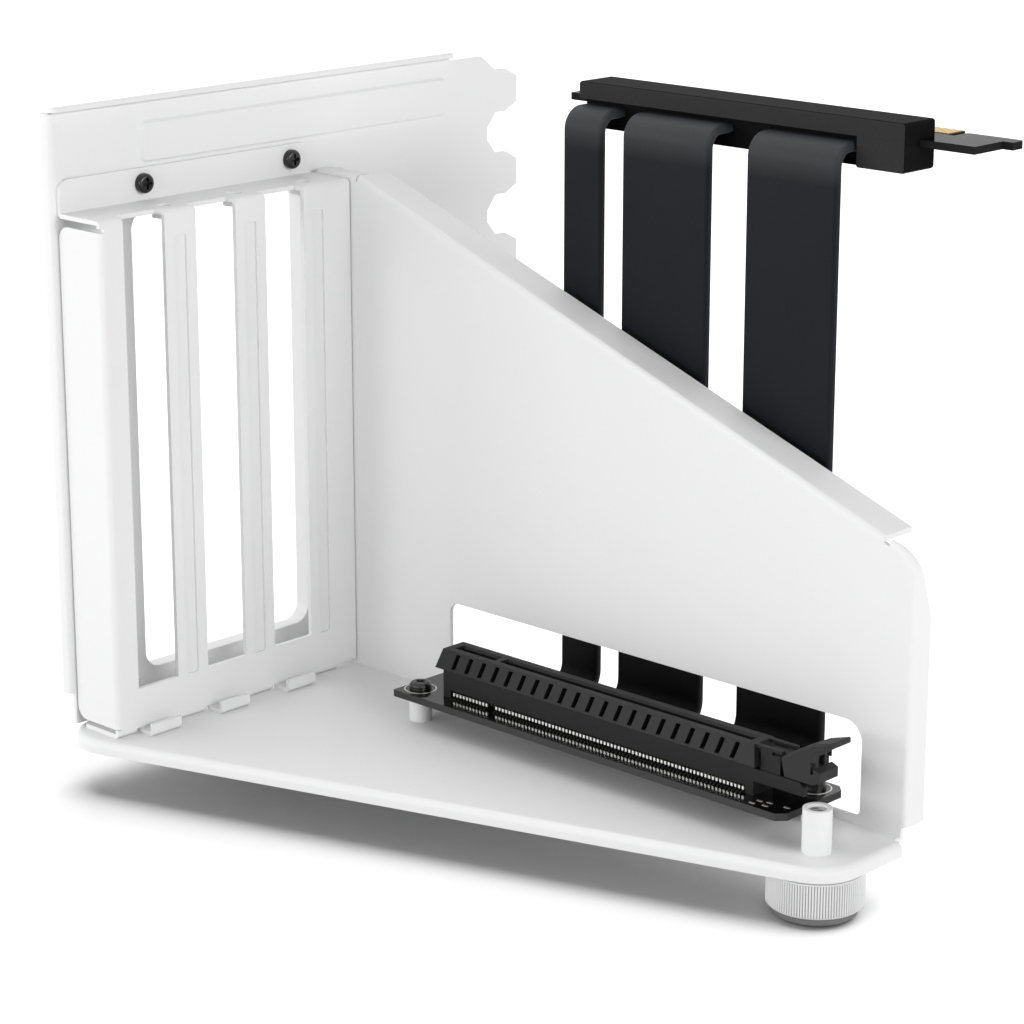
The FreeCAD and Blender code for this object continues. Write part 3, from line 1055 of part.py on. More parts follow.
extrude(latch, "pockets", "X", "latch_end - pocket_d", "latch_end", [
    box(f"{POCKET_Y} - pocket_narrow_w", "lobe_root", POCKET_Y, "lobe_root + pocket_h"),
    box(f"{POCKET_RIB_Y} - pocket_w", "lobe_root", POCKET_RIB_Y, "lobe_root + pocket_h"),
], cut=True)
SLIT = box("latch_end - slit_w", "lobe_root + slit_h / 2 - slit_h", "latch_end", "lobe_root + slit_h / 2")
extrude(latch, "front_slit", "Y", minus(LATCH_W), f"slit_d - {LATCH_W}", [SLIT], cut=True)
extrude(latch, "back_slit", "Y", f"{LATCH_W} - slit_d", LATCH_W, [SLIT], cut=True)

# Screw foot, turned about the foot's axis with heights from the underside of the pad
FOOT = (FOOT_X, FOOT_Y, minus(FOOT_Z))
WELL_R = "(stud_head_r + fit_gap)"
HEAD_Z = "(pad_h + pad_pin_h)"
foot_pad = new_body("foot_pad", FOOT)
revolve(foot_pad, "pad", [
    ("0", "0"), ("pad_r - pad_bevel", "0"), ("pad_r", "pad_bevel"), ("pad_r", "pad_h"),
    ("stud_head_r", "pad_h"), ("stud_head_r", HEAD_Z), ("0", HEAD_Z),
])

foot_knob = new_body("foot_knob", FOOT)
KNOB_TOP = "(pad_h + knob_h)"
revolve(foot_knob, "wheel", [
    (WELL_R, "pad_h"), ("knob_r - knob_bevel", "pad_h"), ("knob_r", "pad_h + knob_bevel"),
    ("knob_r", f"{KNOB_TOP} - knob_bevel / 2"), ("knob_r - knob_bevel / 2", KNOB_TOP),
    ("stud_r + fit_gap", KNOB_TOP), ("stud_r + fit_gap", f"{HEAD_Z} + stud_head_h"),
    (WELL_R, f"{HEAD_Z} + stud_head_h"),
])
knurl = extrude(foot_knob, "knurl", "Z", "pad_h + knob_bevel", f"{KNOB_TOP} - knob_bevel / 2", [[
    ("knob_r - knurl_d", "0"), ("knob_r + knurl_d", "-knurl_w"), ("knob_r + knurl_d", "knurl_w"),
]], cut=True)
knurling = foot_knob.newObject("PartDesign::PolarPattern", "knurling")
knurling.Originals = [knurl]
knurling.Axis = (origin_part(foot_knob, "Z_Axis"), [""])
knurling.Angle = 360
knurling.setExpression("Occurrences", bound("knurls"))
foot_knob.Tip = knurling

foot_stud = new_body("foot_stud", FOOT)
STUD_END = f"({FOOT_Z} + bush_h - stud_in)"
revolve(foot_stud, "stud", [
    ("0", HEAD_Z), ("stud_head_r", HEAD_Z), ("stud_head_r", f"{HEAD_Z} + stud_head_h"),
    ("stud_r", f"{HEAD_Z} + stud_head_h"), ("stud_r", f"{STUD_END} - stud_r / 4"),
    ("stud_r * 3 / 4", STUD_END), ("0", STUD_END),
])

foot_bushing = new_body("foot_bushing", FOOT)
revolve(foot_bushing, "bushing", [
    ("stud_r + fit_gap", f"{FOOT_Z} - sheet_t"), ("bush_pin_r", f"{FOOT_Z} - sheet_t"),
    ("bush_pin_r", FOOT_Z), ("bush_r", FOOT_Z), ("bush_r", f"{FOOT_Z} + bush_h"),
    ("stud_r + fit_gap", f"{FOOT_Z} + bush_h"),
])


def ribbon(label, start, width):
    """A flat ribbon: under the riser board, up behind the wall and back into the plug."""
    body = new_body(label)
    low = "(stand_h - rib_t)"
    extrude(body, "strip", "X", start, f"{start} + {width}", [[
        ("-rib_under", low),
        ("rib_y + rib_t", low, "rib_low_r + rib_t"),
        ("rib_y + rib_t", RIB_Z, "rib_high_r"),
        (f"{PLUG_Y} + entry_d", RIB_Z),
        (f"{PLUG_Y} + entry_d", f"{RIB_Z} + rib_t"),
        ("rib_y", f"{RIB_Z} + rib_t", "rib_high_r + rib_t"),
        ("rib_y", "stand_h", "rib_low_r"),
        ("-rib_under", "stand_h"),
    ]])
    return body


RIBBONS = [("rib_a_x", "rib_a_w"), ("rib_b_x", "rib_b_w"), ("rib_c_x", "rib_c_w")]
ribbons = [ribbon(f"ribbon_{i}", *place) for i, place in enumerate(RIBBONS, start=1)]

# Plug: housing with ribbon entries and a seat for the board, flat cover above
PLUG_END = "(plug_x + plug_l)"
PLUG_BACK = f"({PLUG_Y} + plug_w)"
CARD_Y = f"({PLUG_Y} + card_front)"
CARD_Z = f"({SPLIT_Z} - board_t)"
plug_housing = new_body("plug_housing")
extrude(plug_housing, "block", "Z", "plug_z", SPLIT_Z, [box("plug_x", PLUG_Y, PLUG_END, PLUG_BACK, "plug_r")])
extrude(plug_housing, "board_seat", "Z", CARD_Z, SPLIT_Z,
        [box("plug_x", CARD_Y, PLUG_END, PLUG_BACK)], cut=True)
extrude(plug_housing, "ribbon_bay", "Z", "plug_z", SPLIT_Z,
        [box("plug_x", PLUG_Y, "rib_c_x + rib_c_w + bay_over", f"{PLUG_Y} + bay_d")], cut=True)
extrude(plug_housing, "ribbon_entries", "Y", PLUG_Y, f"{PLUG_Y} + entry_d", [
    box(f"{start} - entry_gap", f"{RIB_Z} - entry_gap", f"{start} + {width} + entry_gap",
        f"{RIB_Z} + rib_t + entry_gap") for start, width in RIBBONS
], cut=True)
PLUG_MID = "(plug_x + plug_l / 2)"
round_edges(plug_housing, "lower_edge", "plug_r", [(PLUG_MID, PLUG_BACK, "plug_z")])

plug_cover = new_body("plug_cover")
COVER_TOP = f"({SPLIT_Z} + plug_cover_h)"
extrude(plug_cover, "slab", "Z", SPLIT_Z, COVER_TOP, [box("plug_x", PLUG_Y, PLUG_END, PLUG_BACK, "plug_r")])
round_edges(plug_cover, "upper_edge", "plug_r", [(PLUG_MID, PLUG_Y, COVER_TOP)])

# Board of the plug: contact edge with its key notch, and the hook behind a gap
plug_board = new_body("plug_board")
FINGER_X = "(plug_x + finger_in)"
FINGER_Y = f"({PLUG_BACK} + card_out)"
END_Y = f"({PLUG_BACK} + card_back)"
HOOK_X = f"({FINGER_X} + finger_edge + hook_gap)"
HOOK_END = f"({HOOK_X} + hook_l)"
TAB_Y = f"({FINGER_Y} - hook_back)"
NOTCH_X = f"({FINGER_X} + finger_first + (pins_short - 1) * pin_pitch + key_pitch / 2)"
extrude(plug_board, "board", "Z", CARD_Z, SPLIT_Z, [[
    ("plug_x - card_left", CARD_Y),
    (HOOK_END, CARD_Y),
    (HOOK_END, f"{TAB_Y} - hook_tab_w"),
    (f"{HOOK_END} + hook_tab", f"{TAB_Y} - hook_tab_w"),
    (f"{HOOK_END} + hook_tab", TAB_Y, "board_r"),
    (HOOK_X, TAB_Y, "board_r"),
    (HOOK_X, END_Y),
    (f"{FINGER_X} + finger_edge", END_Y),
    (f"{FINGER_X} + finger_edge", FINGER_Y, "board_r"),
    (f"{NOTCH_X} + notch_w / 2", FINGER_Y),
    (f"{NOTCH_X} + notch_w / 2", END_Y),
    (f"{NOTCH_X} - notch_w / 2", END_Y),
    (f"{NOTCH_X} - notch_w / 2", FINGER_Y),
    (FINGER_X, FINGER_Y, "board_r"),
    (FINGER_X, END_Y),
    ("plug_x - card_left", END_Y),
]])

# Contact fingers on both faces of the plug's board
edge_contacts = new_body("edge_contacts")
FIRST_X = f"({FINGER_X} + finger_first - finger_w / 2)"
LONG_X = f"({FIRST_X} + (pins_short - 1) * pin_pitch + key_pitch)"
TIP_Y = f"({FINGER_Y} - finger_gap)"


def fingers(name, start, count):
    """A row of fingers, one pair on the two faces repeated along the edge."""
    pair = []
    sides = (("under", f"{CARD_Z} - finger_t", CARD_Z), ("over", SPLIT_Z, f"{SPLIT_Z} + finger_t"))
    for face, low, high in sides:
        pair.append(extrude(edge_contacts, f"{name}_{face}", "Z", low, high,
                            [box(start, f"{TIP_Y} - finger_l", f"{start} + finger_w", TIP_Y)]))
    repeat(edge_contacts, name + "_row", pair, "X", "pin_pitch", count)


fingers("short", FIRST_X, "pins_short")
fingers("long", LONG_X, "pins_long")

doc.recompute()
bodies = [item for item in doc.Objects if item.isDerivedFrom("PartDesign::Body")]
faults = [item.Label for item in doc.Objects if {"Invalid", "Error"} & set(item.State)]
faults += [body.Label for body in bodies if body.Shape.isNull() or not body.Shape.isValid()]
if faults:
    raise RuntimeError("not built: " + ", ".join(faults))
os.makedirs("parts", exist_ok=True)
for body in bodies:
    body.Shape.exportStep(f"parts/{body.Label}.step")
    size = body.Shape.BoundBox
    print(f"{body.Label:18s} {len(body.Shape.Solids):4d} solids {body.Shape.Volume:10.1f} mm3"
          f"  X {size.XMin:8.2f} {size.XMax:8.2f}  Y {size.YMin:8.2f} {size.YMax:8.2f}"
          f"  Z {size.ZMin:8.2f} {size.ZMax:8.2f}")
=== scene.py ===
import math

import bpy
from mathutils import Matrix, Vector


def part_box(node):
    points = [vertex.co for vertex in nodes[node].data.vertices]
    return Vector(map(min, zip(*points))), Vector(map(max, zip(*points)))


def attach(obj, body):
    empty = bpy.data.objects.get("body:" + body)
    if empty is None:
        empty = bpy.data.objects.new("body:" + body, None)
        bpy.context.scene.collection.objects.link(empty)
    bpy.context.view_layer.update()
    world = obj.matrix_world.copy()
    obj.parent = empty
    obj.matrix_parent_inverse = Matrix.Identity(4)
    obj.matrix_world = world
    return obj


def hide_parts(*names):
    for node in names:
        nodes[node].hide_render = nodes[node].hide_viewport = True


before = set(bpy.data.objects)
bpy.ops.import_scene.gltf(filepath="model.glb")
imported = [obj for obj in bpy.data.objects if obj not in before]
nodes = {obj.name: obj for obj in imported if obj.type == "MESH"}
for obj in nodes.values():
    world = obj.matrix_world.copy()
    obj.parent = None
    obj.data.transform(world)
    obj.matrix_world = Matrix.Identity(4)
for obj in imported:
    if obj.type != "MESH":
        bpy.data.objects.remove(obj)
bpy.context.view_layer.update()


# Main bracket: one steel sheet, folded up along the wall and down along the rim of the base,
# then powder coated white. It carries every other piece.
MM = 0.001
COAT_WHITE = (0.80, 0.80, 0.80, 1.0)
COAT_SHADE = (0.775, 0.776, 0.78, 1.0)
COAT_SHINE = 0.35
COAT_GRAIN = 1100.0
COAT_CLOUD = 24.0
COAT_PEEL = 0.02 * MM
COAT_EDGE = 0.10 * MM
EASE_SAMPLES = 6


class Value:
    """One value of a finish as it changes over the surface; sums and products add Math nodes."""

    def __init__(self, finish, socket):
        self.finish = finish
        self.socket = socket

    def worked(self, operation, *numbers):
        sockets = dict(enumerate(numbers))
        return self.finish.node("ShaderNodeMath", {"operation": operation}, sockets)["Value"]

    def __add__(self, other):
        return self.worked("ADD", self, other)

    def __radd__(self, other):
        return self.worked("ADD", other, self)

    def __sub__(self, other):
        return self.worked("SUBTRACT", self, other)

    def __rsub__(self, other):
        return self.worked("SUBTRACT", other, self)

    def __mul__(self, other):
        return self.worked("MULTIPLY", self, other)

    def __rmul__(self, other):
        return self.worked("MULTIPLY", other, self)

    def __lt__(self, other):
        return self.worked("LESS_THAN", self, other)

    def __gt__(self, other):
        return self.worked("GREATER_THAN", self, other)


class Shading:
    """A node tree of a material or of the world."""

    def __init__(self, tree):
        self.tree = tree

    def node(self, kind, settings, sockets):
        """A node of that kind with its settings, and with values or links on its sockets."""
        made = self.tree.nodes.new(kind)
        for key, setting in settings.items():
            setattr(made, key, setting)
        for key, value in sockets.items():
            self.join(self.open_input(made, key), value)
        return {output.name: Value(self, output) for output in made.outputs if output.enabled}

    def open_input(self, made, key):
        """A node's socket by its number, or by its name where that one is in use."""
        if isinstance(key, int):
            return made.inputs[key]
        return next(socket for socket in made.inputs if socket.name == key and socket.enabled)

    def join(self, socket, value):
        if isinstance(value, Value):
            self.tree.links.new(value.socket, socket)
        else:
            socket.default_value = value


class Finish(Shading):
    """A material with its Principled shader."""

    def __init__(self, name, **uniform):
        self.material = bpy.data.materials.new(name)
        self.material.use_nodes = True
        super().__init__(self.material.node_tree)
        self.shader = self.tree.nodes["Principled BSDF"]
        self.set(**uniform)

    def set(self, **sockets):
        """Values or links of the shader's own sockets, named with low lines for spaces."""
        for name, value in sockets.items():
            self.join(self.shader.inputs[name.replace("_", " ")], value)

    def place(self):
        return self.node("ShaderNodeTexCoord", {}, {})["Object"]

    def along(self, axis):
        return self.node("ShaderNodeSeparateXYZ", {}, {"Vector": self.place()})[axis]

    def noise(self, scale, detail=2.0):
        sockets = {"Vector": self.place(), "Scale": scale, "Detail": detail}
        return self.node("ShaderNodeTexNoise", {}, sockets)["Fac"]

    def mix(self, share, first, second):
        sockets = {"Factor": share, "A": first, "B": second}
        return self.node("ShaderNodeMix", {"data_type": "RGBA"}, sockets)["Result"]

    def bump(self, height, distance, strength=1.0, normal=None):
        sockets = {"Height": height, "Distance": distance, "Strength": strength}
        if normal:
            sockets["Normal"] = normal
        return self.node("ShaderNodeBump", {}, sockets)["Normal"]

    def eased_edges(self, radius):
        return self.node("ShaderNodeBevel", {"samples": EASE_SAMPLES}, {"Radius": radius})["Normal"]


def powder_coat(name):
    """Satin white with a faint orange peel and softened edges."""
    coat = Finish(name, IOR=1.45, Specular_IOR_Level=COAT_SHINE)
    grain = coat.noise(COAT_GRAIN)
    cloud = coat.noise(COAT_CLOUD, detail=3.0)
    coat.set(Base_Color=coat.mix(cloud, COAT_WHITE, COAT_SHADE))
    coat.set(Roughness=0.46 + 0.10 * grain)
    coat.set(Normal=coat.bump(grain, COAT_PEEL, strength=0.35, normal=coat.eased_edges(COAT_EDGE)))
    return coat.material


def dress(names, finish):
    """Gives CAD nodes their finish."""
    for name in names:
        nodes[name].data.materials.clear()
        nodes[name].data.materials.append(finish)


white_coat = powder_coat("white_powder_coat")
dress(["main_bracket"], white_coat)


# Rear plate and slot bracket: two more folded sheets in the same coat, held on the main bracket
# by rivets and by two screws through the upright flange.
dress(["rear_plate", "gpu_slot_bracket"], white_coat)


# Rivets: three rows of three that join the rear plate and the slot bracket to the main bracket.
# They are coated white together with the sheets.
dress(["tab_rivets", "wall_rivets", "base_rivets"], powder_coat("coated_rivets"))


# Bracket and board screws: pan-head steel screws with a cross recess, finished in black zinc. Two go
# through the slot bracket's upright flange, and two hold the riser board on its standoffs.
BLACK_ZINC = (0.004, 0.004, 0.004, 1.0)
WORN_ZINC = (0.011, 0.0105, 0.010, 1.0)
ZINC_SHINE = 0.45
ZINC_GRAIN = 1800.0
ZINC_PITS = 0.01 * MM
HEAD_EDGE = 0.12 * MM

zinc = Finish("black_zinc", Specular_IOR_Level=ZINC_SHINE)
wear = zinc.noise(ZINC_GRAIN, detail=3.0)
zinc.set(Base_Color=zinc.mix(wear, BLACK_ZINC, WORN_ZINC))
zinc.set(Roughness=0.16 + 0.14 * wear)
zinc.set(Normal=zinc.bump(wear, ZINC_PITS, strength=0.4, normal=zinc.eased_edges(HEAD_EDGE)))
dress(["bracket_screws", "board_screws"], zinc.material)


# Standoffs: two white plastic posts set into holes of the base, under the riser board's screws.
# Their satin white is made like that of the coat.
dress(["board_standoffs"], powder_coat("white_standoffs"))


# Riser board: glass-fibre board under glossy black solder mask, screwed down on the standoffs. A thin
# tinned ring lies round each of its two screws, and five tinned test pads lie in front of the latch.
MASK_BLACK = (0.003, 0.003, 0.0032, 1.0)
MASK_TRACK = (0.005, 0.005, 0.0054, 1.0)
FIBRE = (0.016, 0.016, 0.016, 1.0)
RISER_SHINE = 0.5
TRACK_SCALE = 900.0
TRACK_GAP = 0.06
WEAVE_SCALE = 2600.0
MASK_RISE = 0.006 * MM
MASK_SKIN = 0.08 * MM


def solder_mask(name, board, shine):
    """Solder mask over a board's tracks, with bare glass fibre on its cut edges."""
    low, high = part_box(board)
    mask = Finish(name, IOR=1.5, Specular_IOR_Level=shine)
    z = mask.along("Z")
    sockets = {"Vector": mask.place(), "Scale": TRACK_SCALE, "Mortar Size": TRACK_GAP}
    tracks = mask.node("ShaderNodeTexBrick", {"offset": 0.5}, sockets)["Fac"]
    weave = mask.noise(WEAVE_SCALE)
    face = mask.mix(tracks, MASK_BLACK, MASK_TRACK)
    edge = (z < high.z - MASK_SKIN) * (z > low.z + MASK_SKIN)
    mask.set(Base_Color=mask.mix(edge, face, FIBRE))
    mask.set(Roughness=0.07 + 0.05 * weave + 0.6 * edge)
    mask.set(Normal=mask.bump(tracks + 0.3 * weave, MASK_RISE, strength=0.25))
    return mask.material


dress(["riser_board"], solder_mask("riser_solder_mask", "riser_board", RISER_SHINE))

TIN_PALE = (0.80, 0.79, 0.76, 1.0)
TIN_DULL = (0.55, 0.53, 0.50, 1.0)
TARNISH_SCALE = 900.0
SMOOTH_UNDER = math.radians(35.0)
tinned = Finish("tinned_copper", Metallic=1.0)
tarnish = tinned.noise(TARNISH_SCALE, detail=3.0)
tinned.set(Base_Color=tinned.mix(tarnish, TIN_PALE, TIN_DULL))
tinned.set(Roughness=0.25 + 0.25 * tarnish)


def settle(piece, name, body, finish):
    """Names a finished piece, applies its place, and gives it its body, finish and slot."""
    bpy.ops.object.select_all(action="DESELECT")
    piece.select_set(True)
    bpy.context.view_layer.objects.active = piece
    bpy.ops.object.transform_apply(location=True, rotation=True, scale=True)
    bpy.ops.object.shade_smooth_by_angle(angle=SMOOTH_UNDER)
    piece.name = name
    piece.data.name = name
    piece.data.materials.clear()
    piece.data.materials.append(finish)
    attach(piece, body)


RING_R = 3.70 * MM
RING_HOLE = 3.40 * MM
RING_T = 0.05 * MM
RING_SIDES = 48
LYING_FLAT = 0.9


def tinned_ring(name, middle):
    """A flat tinned ring round a board screw."""
    bpy.ops.object.select_all(action="DESELECT")
    bpy.ops.mesh.primitive_cylinder_add(vertices=RING_SIDES, radius=RING_R, depth=RING_T, location=middle)
    ring = bpy.context.object
    bpy.ops.object.mode_set(mode="EDIT")
    bpy.ops.mesh.select_mode(type="FACE")
    bpy.ops.mesh.select_all(action="DESELECT")
    bpy.ops.object.mode_set(mode="OBJECT")
    for face in ring.data.polygons:
        face.select = abs(face.normal.z) > LYING_FLAT
    bpy.ops.object.mode_set(mode="EDIT")
    bpy.ops.mesh.inset(thickness=RING_R - RING_HOLE)
    bpy.ops.mesh.bridge_edge_loops()
    bpy.ops.object.mode_set(mode="OBJECT")
    settle(ring, name, "bracket", tinned.material)


# the box round both screws ends at their heads, one head's radius past the middle of each
HEAD_R = 2.5 * MM
board_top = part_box("riser_board")[1].z
ring_z = board_top + RING_T / 2
screw_low, screw_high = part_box("board_screws")
tinned_ring("rear_screw_ring", (screw_low.x + HEAD_R, screw_low.y + HEAD_R, ring_z))
tinned_ring("front_screw_ring", (screw_high.x - HEAD_R, screw_high.y - HEAD_R, ring_z))

PAD_LONG = 1.5 * MM
PAD_WIDE = 0.6 * MM
PAD_T = 0.05 * MM
PAD_CORNER = 0.2 * MM
PAD_CORNER_STEPS = 4
# where the pads lie, as X and Y in millimetres
PAD_PLACES = [(-14.7, -2.7), (-14.3, -0.7), (-11.8, -2.1), (-12.1, -0.2), (-7.9, 0.1)]


def test_pad():
    """One tinned pad with rounded corners, lying along the board."""
    bpy.ops.object.select_all(action="DESELECT")
    bpy.ops.mesh.primitive_cube_add(size=1.0)
    pad = bpy.context.object
    bpy.ops.object.mode_set(mode="EDIT")
    bpy.ops.transform.resize(value=(PAD_LONG, PAD_WIDE, PAD_T))
    bpy.ops.mesh.select_mode(type="EDGE")
    bpy.ops.mesh.select_all(action="DESELECT")
    bpy.ops.object.mode_set(mode="OBJECT")
    corners = pad.data.vertices
    for edge in pad.data.edges:
        run = corners[edge.vertices[0]].co - corners[edge.vertices[1]].co
        edge.select = abs(run.z) > PAD_T / 2
    bpy.ops.object.mode_set(mode="EDIT")
    bpy.ops.mesh.bevel(offset=PAD_CORNER, segments=PAD_CORNER_STEPS)
    bpy.ops.object.mode_set(mode="OBJECT")
    return pad


for number, (pad_x, pad_y) in enumerate(PAD_PLACES, 1):
    pad = test_pad()
    pad.location = (pad_x * MM, pad_y * MM, board_top + PAD_T / 2)
    settle(pad, f"test_pad_{number}", "bracket", tinned.material)


# Card socket: black glass-filled moulding with a flared, vented collar round the card slot. Its
# tinned contacts are soldered along both sides.
SOCKET_BLACK = (0.011, 0.011, 0.0115, 1.0)
SOCKET_GREY = (0.016, 0.016, 0.0165, 1.0)
SOCKET_SHINE = 0.16
SOCKET_GRAIN = 3200.0
MOULD_CLOUD = 160.0
MOULD_PITS = 0.012 * MM
MOULD_EDGE = 0.12 * MM


def mould_skin(plastic, grain, rough):
    """Gives a plastic the fine grain of a spark-eroded mould, and softened edges."""
    fine = plastic.noise(grain, detail=3.0)
    eased = plastic.eased_edges(MOULD_EDGE)
    plastic.set(Roughness=rough + 0.12 * fine)
    plastic.set(Normal=plastic.bump(fine, MOULD_PITS, strength=0.5, normal=eased))


def moulding(name, dark, pale, grain, rough):
    """Black moulded plastic, a little uneven in its colour."""
    plastic = Finish(name, IOR=1.5, Specular_IOR_Level=SOCKET_SHINE)
    plastic.set(Base_Color=plastic.mix(plastic.noise(MOULD_CLOUD), dark, pale))
    mould_skin(plastic, grain, rough)
    return plastic.material


socket_plastic = moulding("socket_moulding", SOCKET_BLACK, SOCKET_GREY, SOCKET_GRAIN, rough=0.42)
dress(["socket_housing"], socket_plastic)

# the contacts keep their tin between two heights over the board; above and below, a near-black painted
# shade stands for the shade under the housing
TIN_LOW = 0.70 * MM
TIN_HIGH = 1.40 * MM
TIN_BRIGHT = (0.95, 0.94, 0.91, 1.0)
TIN_GRIMY = (0.80, 0.79, 0.76, 1.0)
TIN_PAINTED_SHADE = (0.02, 0.02, 0.02, 1.0)
GRIME_SCALE = 1200.0
contact = Finish("socket_contact_tin", Metallic=1.0)
contact_z = contact.along("Z")
# outside this band the contacts get a painted shade in place of their tin
band_clear_of_painted_shade = (contact_z > board_top + TIN_LOW) * (contact_z < board_top + TIN_HIGH)
grime = contact.noise(GRIME_SCALE, detail=3.0)
contact.set(Base_Color=contact.mix(band_clear_of_painted_shade, TIN_PAINTED_SHADE, contact.mix(grime, TIN_BRIGHT, TIN_GRIMY)))
contact.set(Roughness=0.6 - 0.25 * band_clear_of_painted_shade + 0.1 * grime)
dress(["socket_contacts"], contact.material)


# Latch: a lever of the same black plastic, a little paler. It turns on two stub axles of the socket
# and lets go of the card's hook.
LATCH_BLACK = (0.020, 0.020, 0.0205, 1.0)
LATCH_GREY = (0.028, 0.028, 0.0285, 1.0)
LATCH_GRAIN = 2600.0
dress(["socket_latch"], moulding("latch_moulding", LATCH_BLACK, LATCH_GREY, LATCH_GRAIN, rough=0.48))


# Screw foot: a white plastic bushing in the base, a zinc plated M4 stud, a white knurled wheel moulded
# on its head, and a grey rubber pad plugged into the wheel.
dress(["foot_bushing"], powder_coat("white_bushing"))

# painted shade darkens the knurling in its grooves, inside the given radius and short of the wheel's two
# faces
KNURL_FLOOR = 9.92 * MM
KNURL_EASE = 0.3 * MM
WHEEL_WHITE = (0.80, 0.80, 0.80, 1.0)
WHEEL_SHADE = (0.76, 0.76, 0.765, 1.0)
WHEEL_PAINTED_SHADE = (0.52, 0.52, 0.52, 1.0)
WHEEL_GRAIN = 2200.0
WHEEL_PITS = 0.01 * MM
WHEEL_EDGE = 0.10 * MM
wheel_low, wheel_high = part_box("foot_knob")
wheel = Finish("white_wheel_plastic", IOR=1.46)
wheel_x = wheel.along("X")
wheel_y = wheel.along("Y")
wheel_z = wheel.along("Z")
wheel_grain = wheel.noise(WHEEL_GRAIN)
painted_groove_shade = (wheel_x * wheel_x + wheel_y * wheel_y) < KNURL_FLOOR * KNURL_FLOOR
painted_groove_shade = painted_groove_shade * (wheel_z > wheel_low.z + KNURL_EASE) * (wheel_z < wheel_high.z - KNURL_EASE)
wheel_white = wheel.mix(wheel_grain, WHEEL_WHITE, WHEEL_SHADE)
# the grooves get a painted shade in place of the white
wheel.set(Base_Color=wheel.mix(painted_groove_shade, wheel_white, WHEEL_PAINTED_SHADE))
wheel.set(Roughness=0.40 + 0.12 * wheel_grain)
wheel.set(Normal=wheel.bump(wheel_grain, WHEEL_PITS, strength=0.4, normal=wheel.eased_edges(WHEEL_EDGE)))
dress(["foot_knob"], wheel.material)

RUBBER_DARK = (0.13, 0.13, 0.13, 1.0)
RUBBER_PALE = (0.20, 0.20, 0.20, 1.0)
RUBBER_GRAIN = 1500.0
RUBBER_PITS = 0.03 * MM
rubber = Finish("grey_rubber", IOR=1.5)
crumb = rubber.noise(RUBBER_GRAIN, detail=4.0)
rubber.set(Base_Color=rubber.mix(crumb, RUBBER_DARK, RUBBER_PALE))
rubber.set(Roughness=0.72 + 0.15 * crumb)
rubber.set(Normal=rubber.bump(crumb, RUBBER_PITS, strength=0.5))
dress(["foot_pad"], rubber.material)

# the stud's M4 thread, cut as a helix in the plating's bump
THREAD_PITCH = 0.7 * MM
THREAD_BUMP = 0.8 * MM
PLATE_PALE = (0.66, 0.66, 0.67, 1.0)
PLATE_DARK = (0.55, 0.56, 0.58, 1.0)
SPANGLE_SCALE = 700.0
plated = Finish("zinc_plate", Metallic=1.0)
stud_sides = {0: plated.along("Y"), 1: plated.along("X")}
turn = plated.node("ShaderNodeMath", {"operation": "ARCTAN2"}, stud_sides)["Value"]
climb = plated.along("Z") * (1.0 / THREAD_PITCH) - turn * (0.5 / math.pi)
flanks = plated.node("ShaderNodeMath", {"operation": "PINGPONG"}, {0: climb, 1: 0.5})["Value"]
spangle = plated.noise(SPANGLE_SCALE, detail=3.0)
plated.set(Base_Color=plated.mix(spangle, PLATE_PALE, PLATE_DARK))
plated.set(Roughness=0.25 + 0.15 * spangle)
plated.set(Normal=plated.bump(flanks, THREAD_BUMP))
dress(["foot_stud"], plated.material)


# Ribbons: three stacks of thin shielded wires, each in a flat charcoal wrap. They leave the board's
# underside, climb behind the wall and bend backward into the plug.
RIBBON_NIGHT = (0.0036, 0.0043, 0.0062, 1.0)
RIBBON_CHARCOAL = (0.0052, 0.0061, 0.0086, 1.0)
RIBBON_PAINTED_SHADE = (0.0022, 0.0023, 0.0026, 1.0)
RIBBON_PAINTED_HIGHLIGHT = (0.0420, 0.0445, 0.0480, 1.0)
WRAP_SHINE = 0.12
WRAP_THREAD = 5200.0
WRAP_CLOUD = 70.0
WRAP_WEAVE = 0.015 * MM
# the heights between which a painted shade darkens the wrap down to the foot, and a painted highlight
# pales it up to the bend
SHADE_FROM = 75.0 * MM
SHADE_TO = 35.0 * MM
HIGHLIGHT_FROM = 141.0 * MM
HIGHLIGHT_TO = 148.0 * MM
RIBBON_T = 2.2 * MM
RIBBON_EDGE = 0.85 * MM
EDGE_STEPS = 6
ROUTE_STEPS = 16
# where the ribbons run, as Y and Z in millimetres
RUN_LOW = 17.6
RUN_HIGH = 148.9
RUN_BACK = 30.7
RIBBON_ROUTE = [
    (3.6, RUN_LOW), (12.9, RUN_LOW), (22.2, RUN_LOW), (27.2, RUN_LOW),
    (RUN_BACK, 21.1), (RUN_BACK, 26.1), (RUN_BACK, 84.7), (RUN_BACK, 143.4), (RUN_BACK, 146.6),
    (33.0, RUN_HIGH), (36.2, RUN_HIGH), (39.9, RUN_HIGH),
]

wrap = Finish("charcoal_wrap", IOR=1.5, Specular_IOR_Level=WRAP_SHINE)


def wrap_fade(start, end):
    """Nought at one height of the wrap and one at another, changing evenly between them."""
    sockets = {"Value": wrap.along("Z"), "From Min": start, "From Max": end}
    return wrap.node("ShaderNodeMapRange", {}, sockets)["Result"]


thread = wrap.noise(WRAP_THREAD, detail=1.0)
wrap_colour = wrap.mix(wrap.noise(WRAP_CLOUD), RIBBON_NIGHT, RIBBON_CHARCOAL)
# painted shade: the wrap darkens low down, where it runs in shade behind the wall
wrap_colour = wrap.mix(wrap_fade(SHADE_FROM, SHADE_TO), wrap_colour, RIBBON_PAINTED_SHADE)
# painted highlight: the wrap pales up to its top bend
wrap.set(Base_Color=wrap.mix(wrap_fade(HIGHLIGHT_FROM, HIGHLIGHT_TO), wrap_colour, RIBBON_PAINTED_HIGHLIGHT))
wrap.set(Roughness=0.50 + 0.12 * thread)
wrap.set(Normal=wrap.bump(thread, WRAP_WEAVE, strength=0.5))


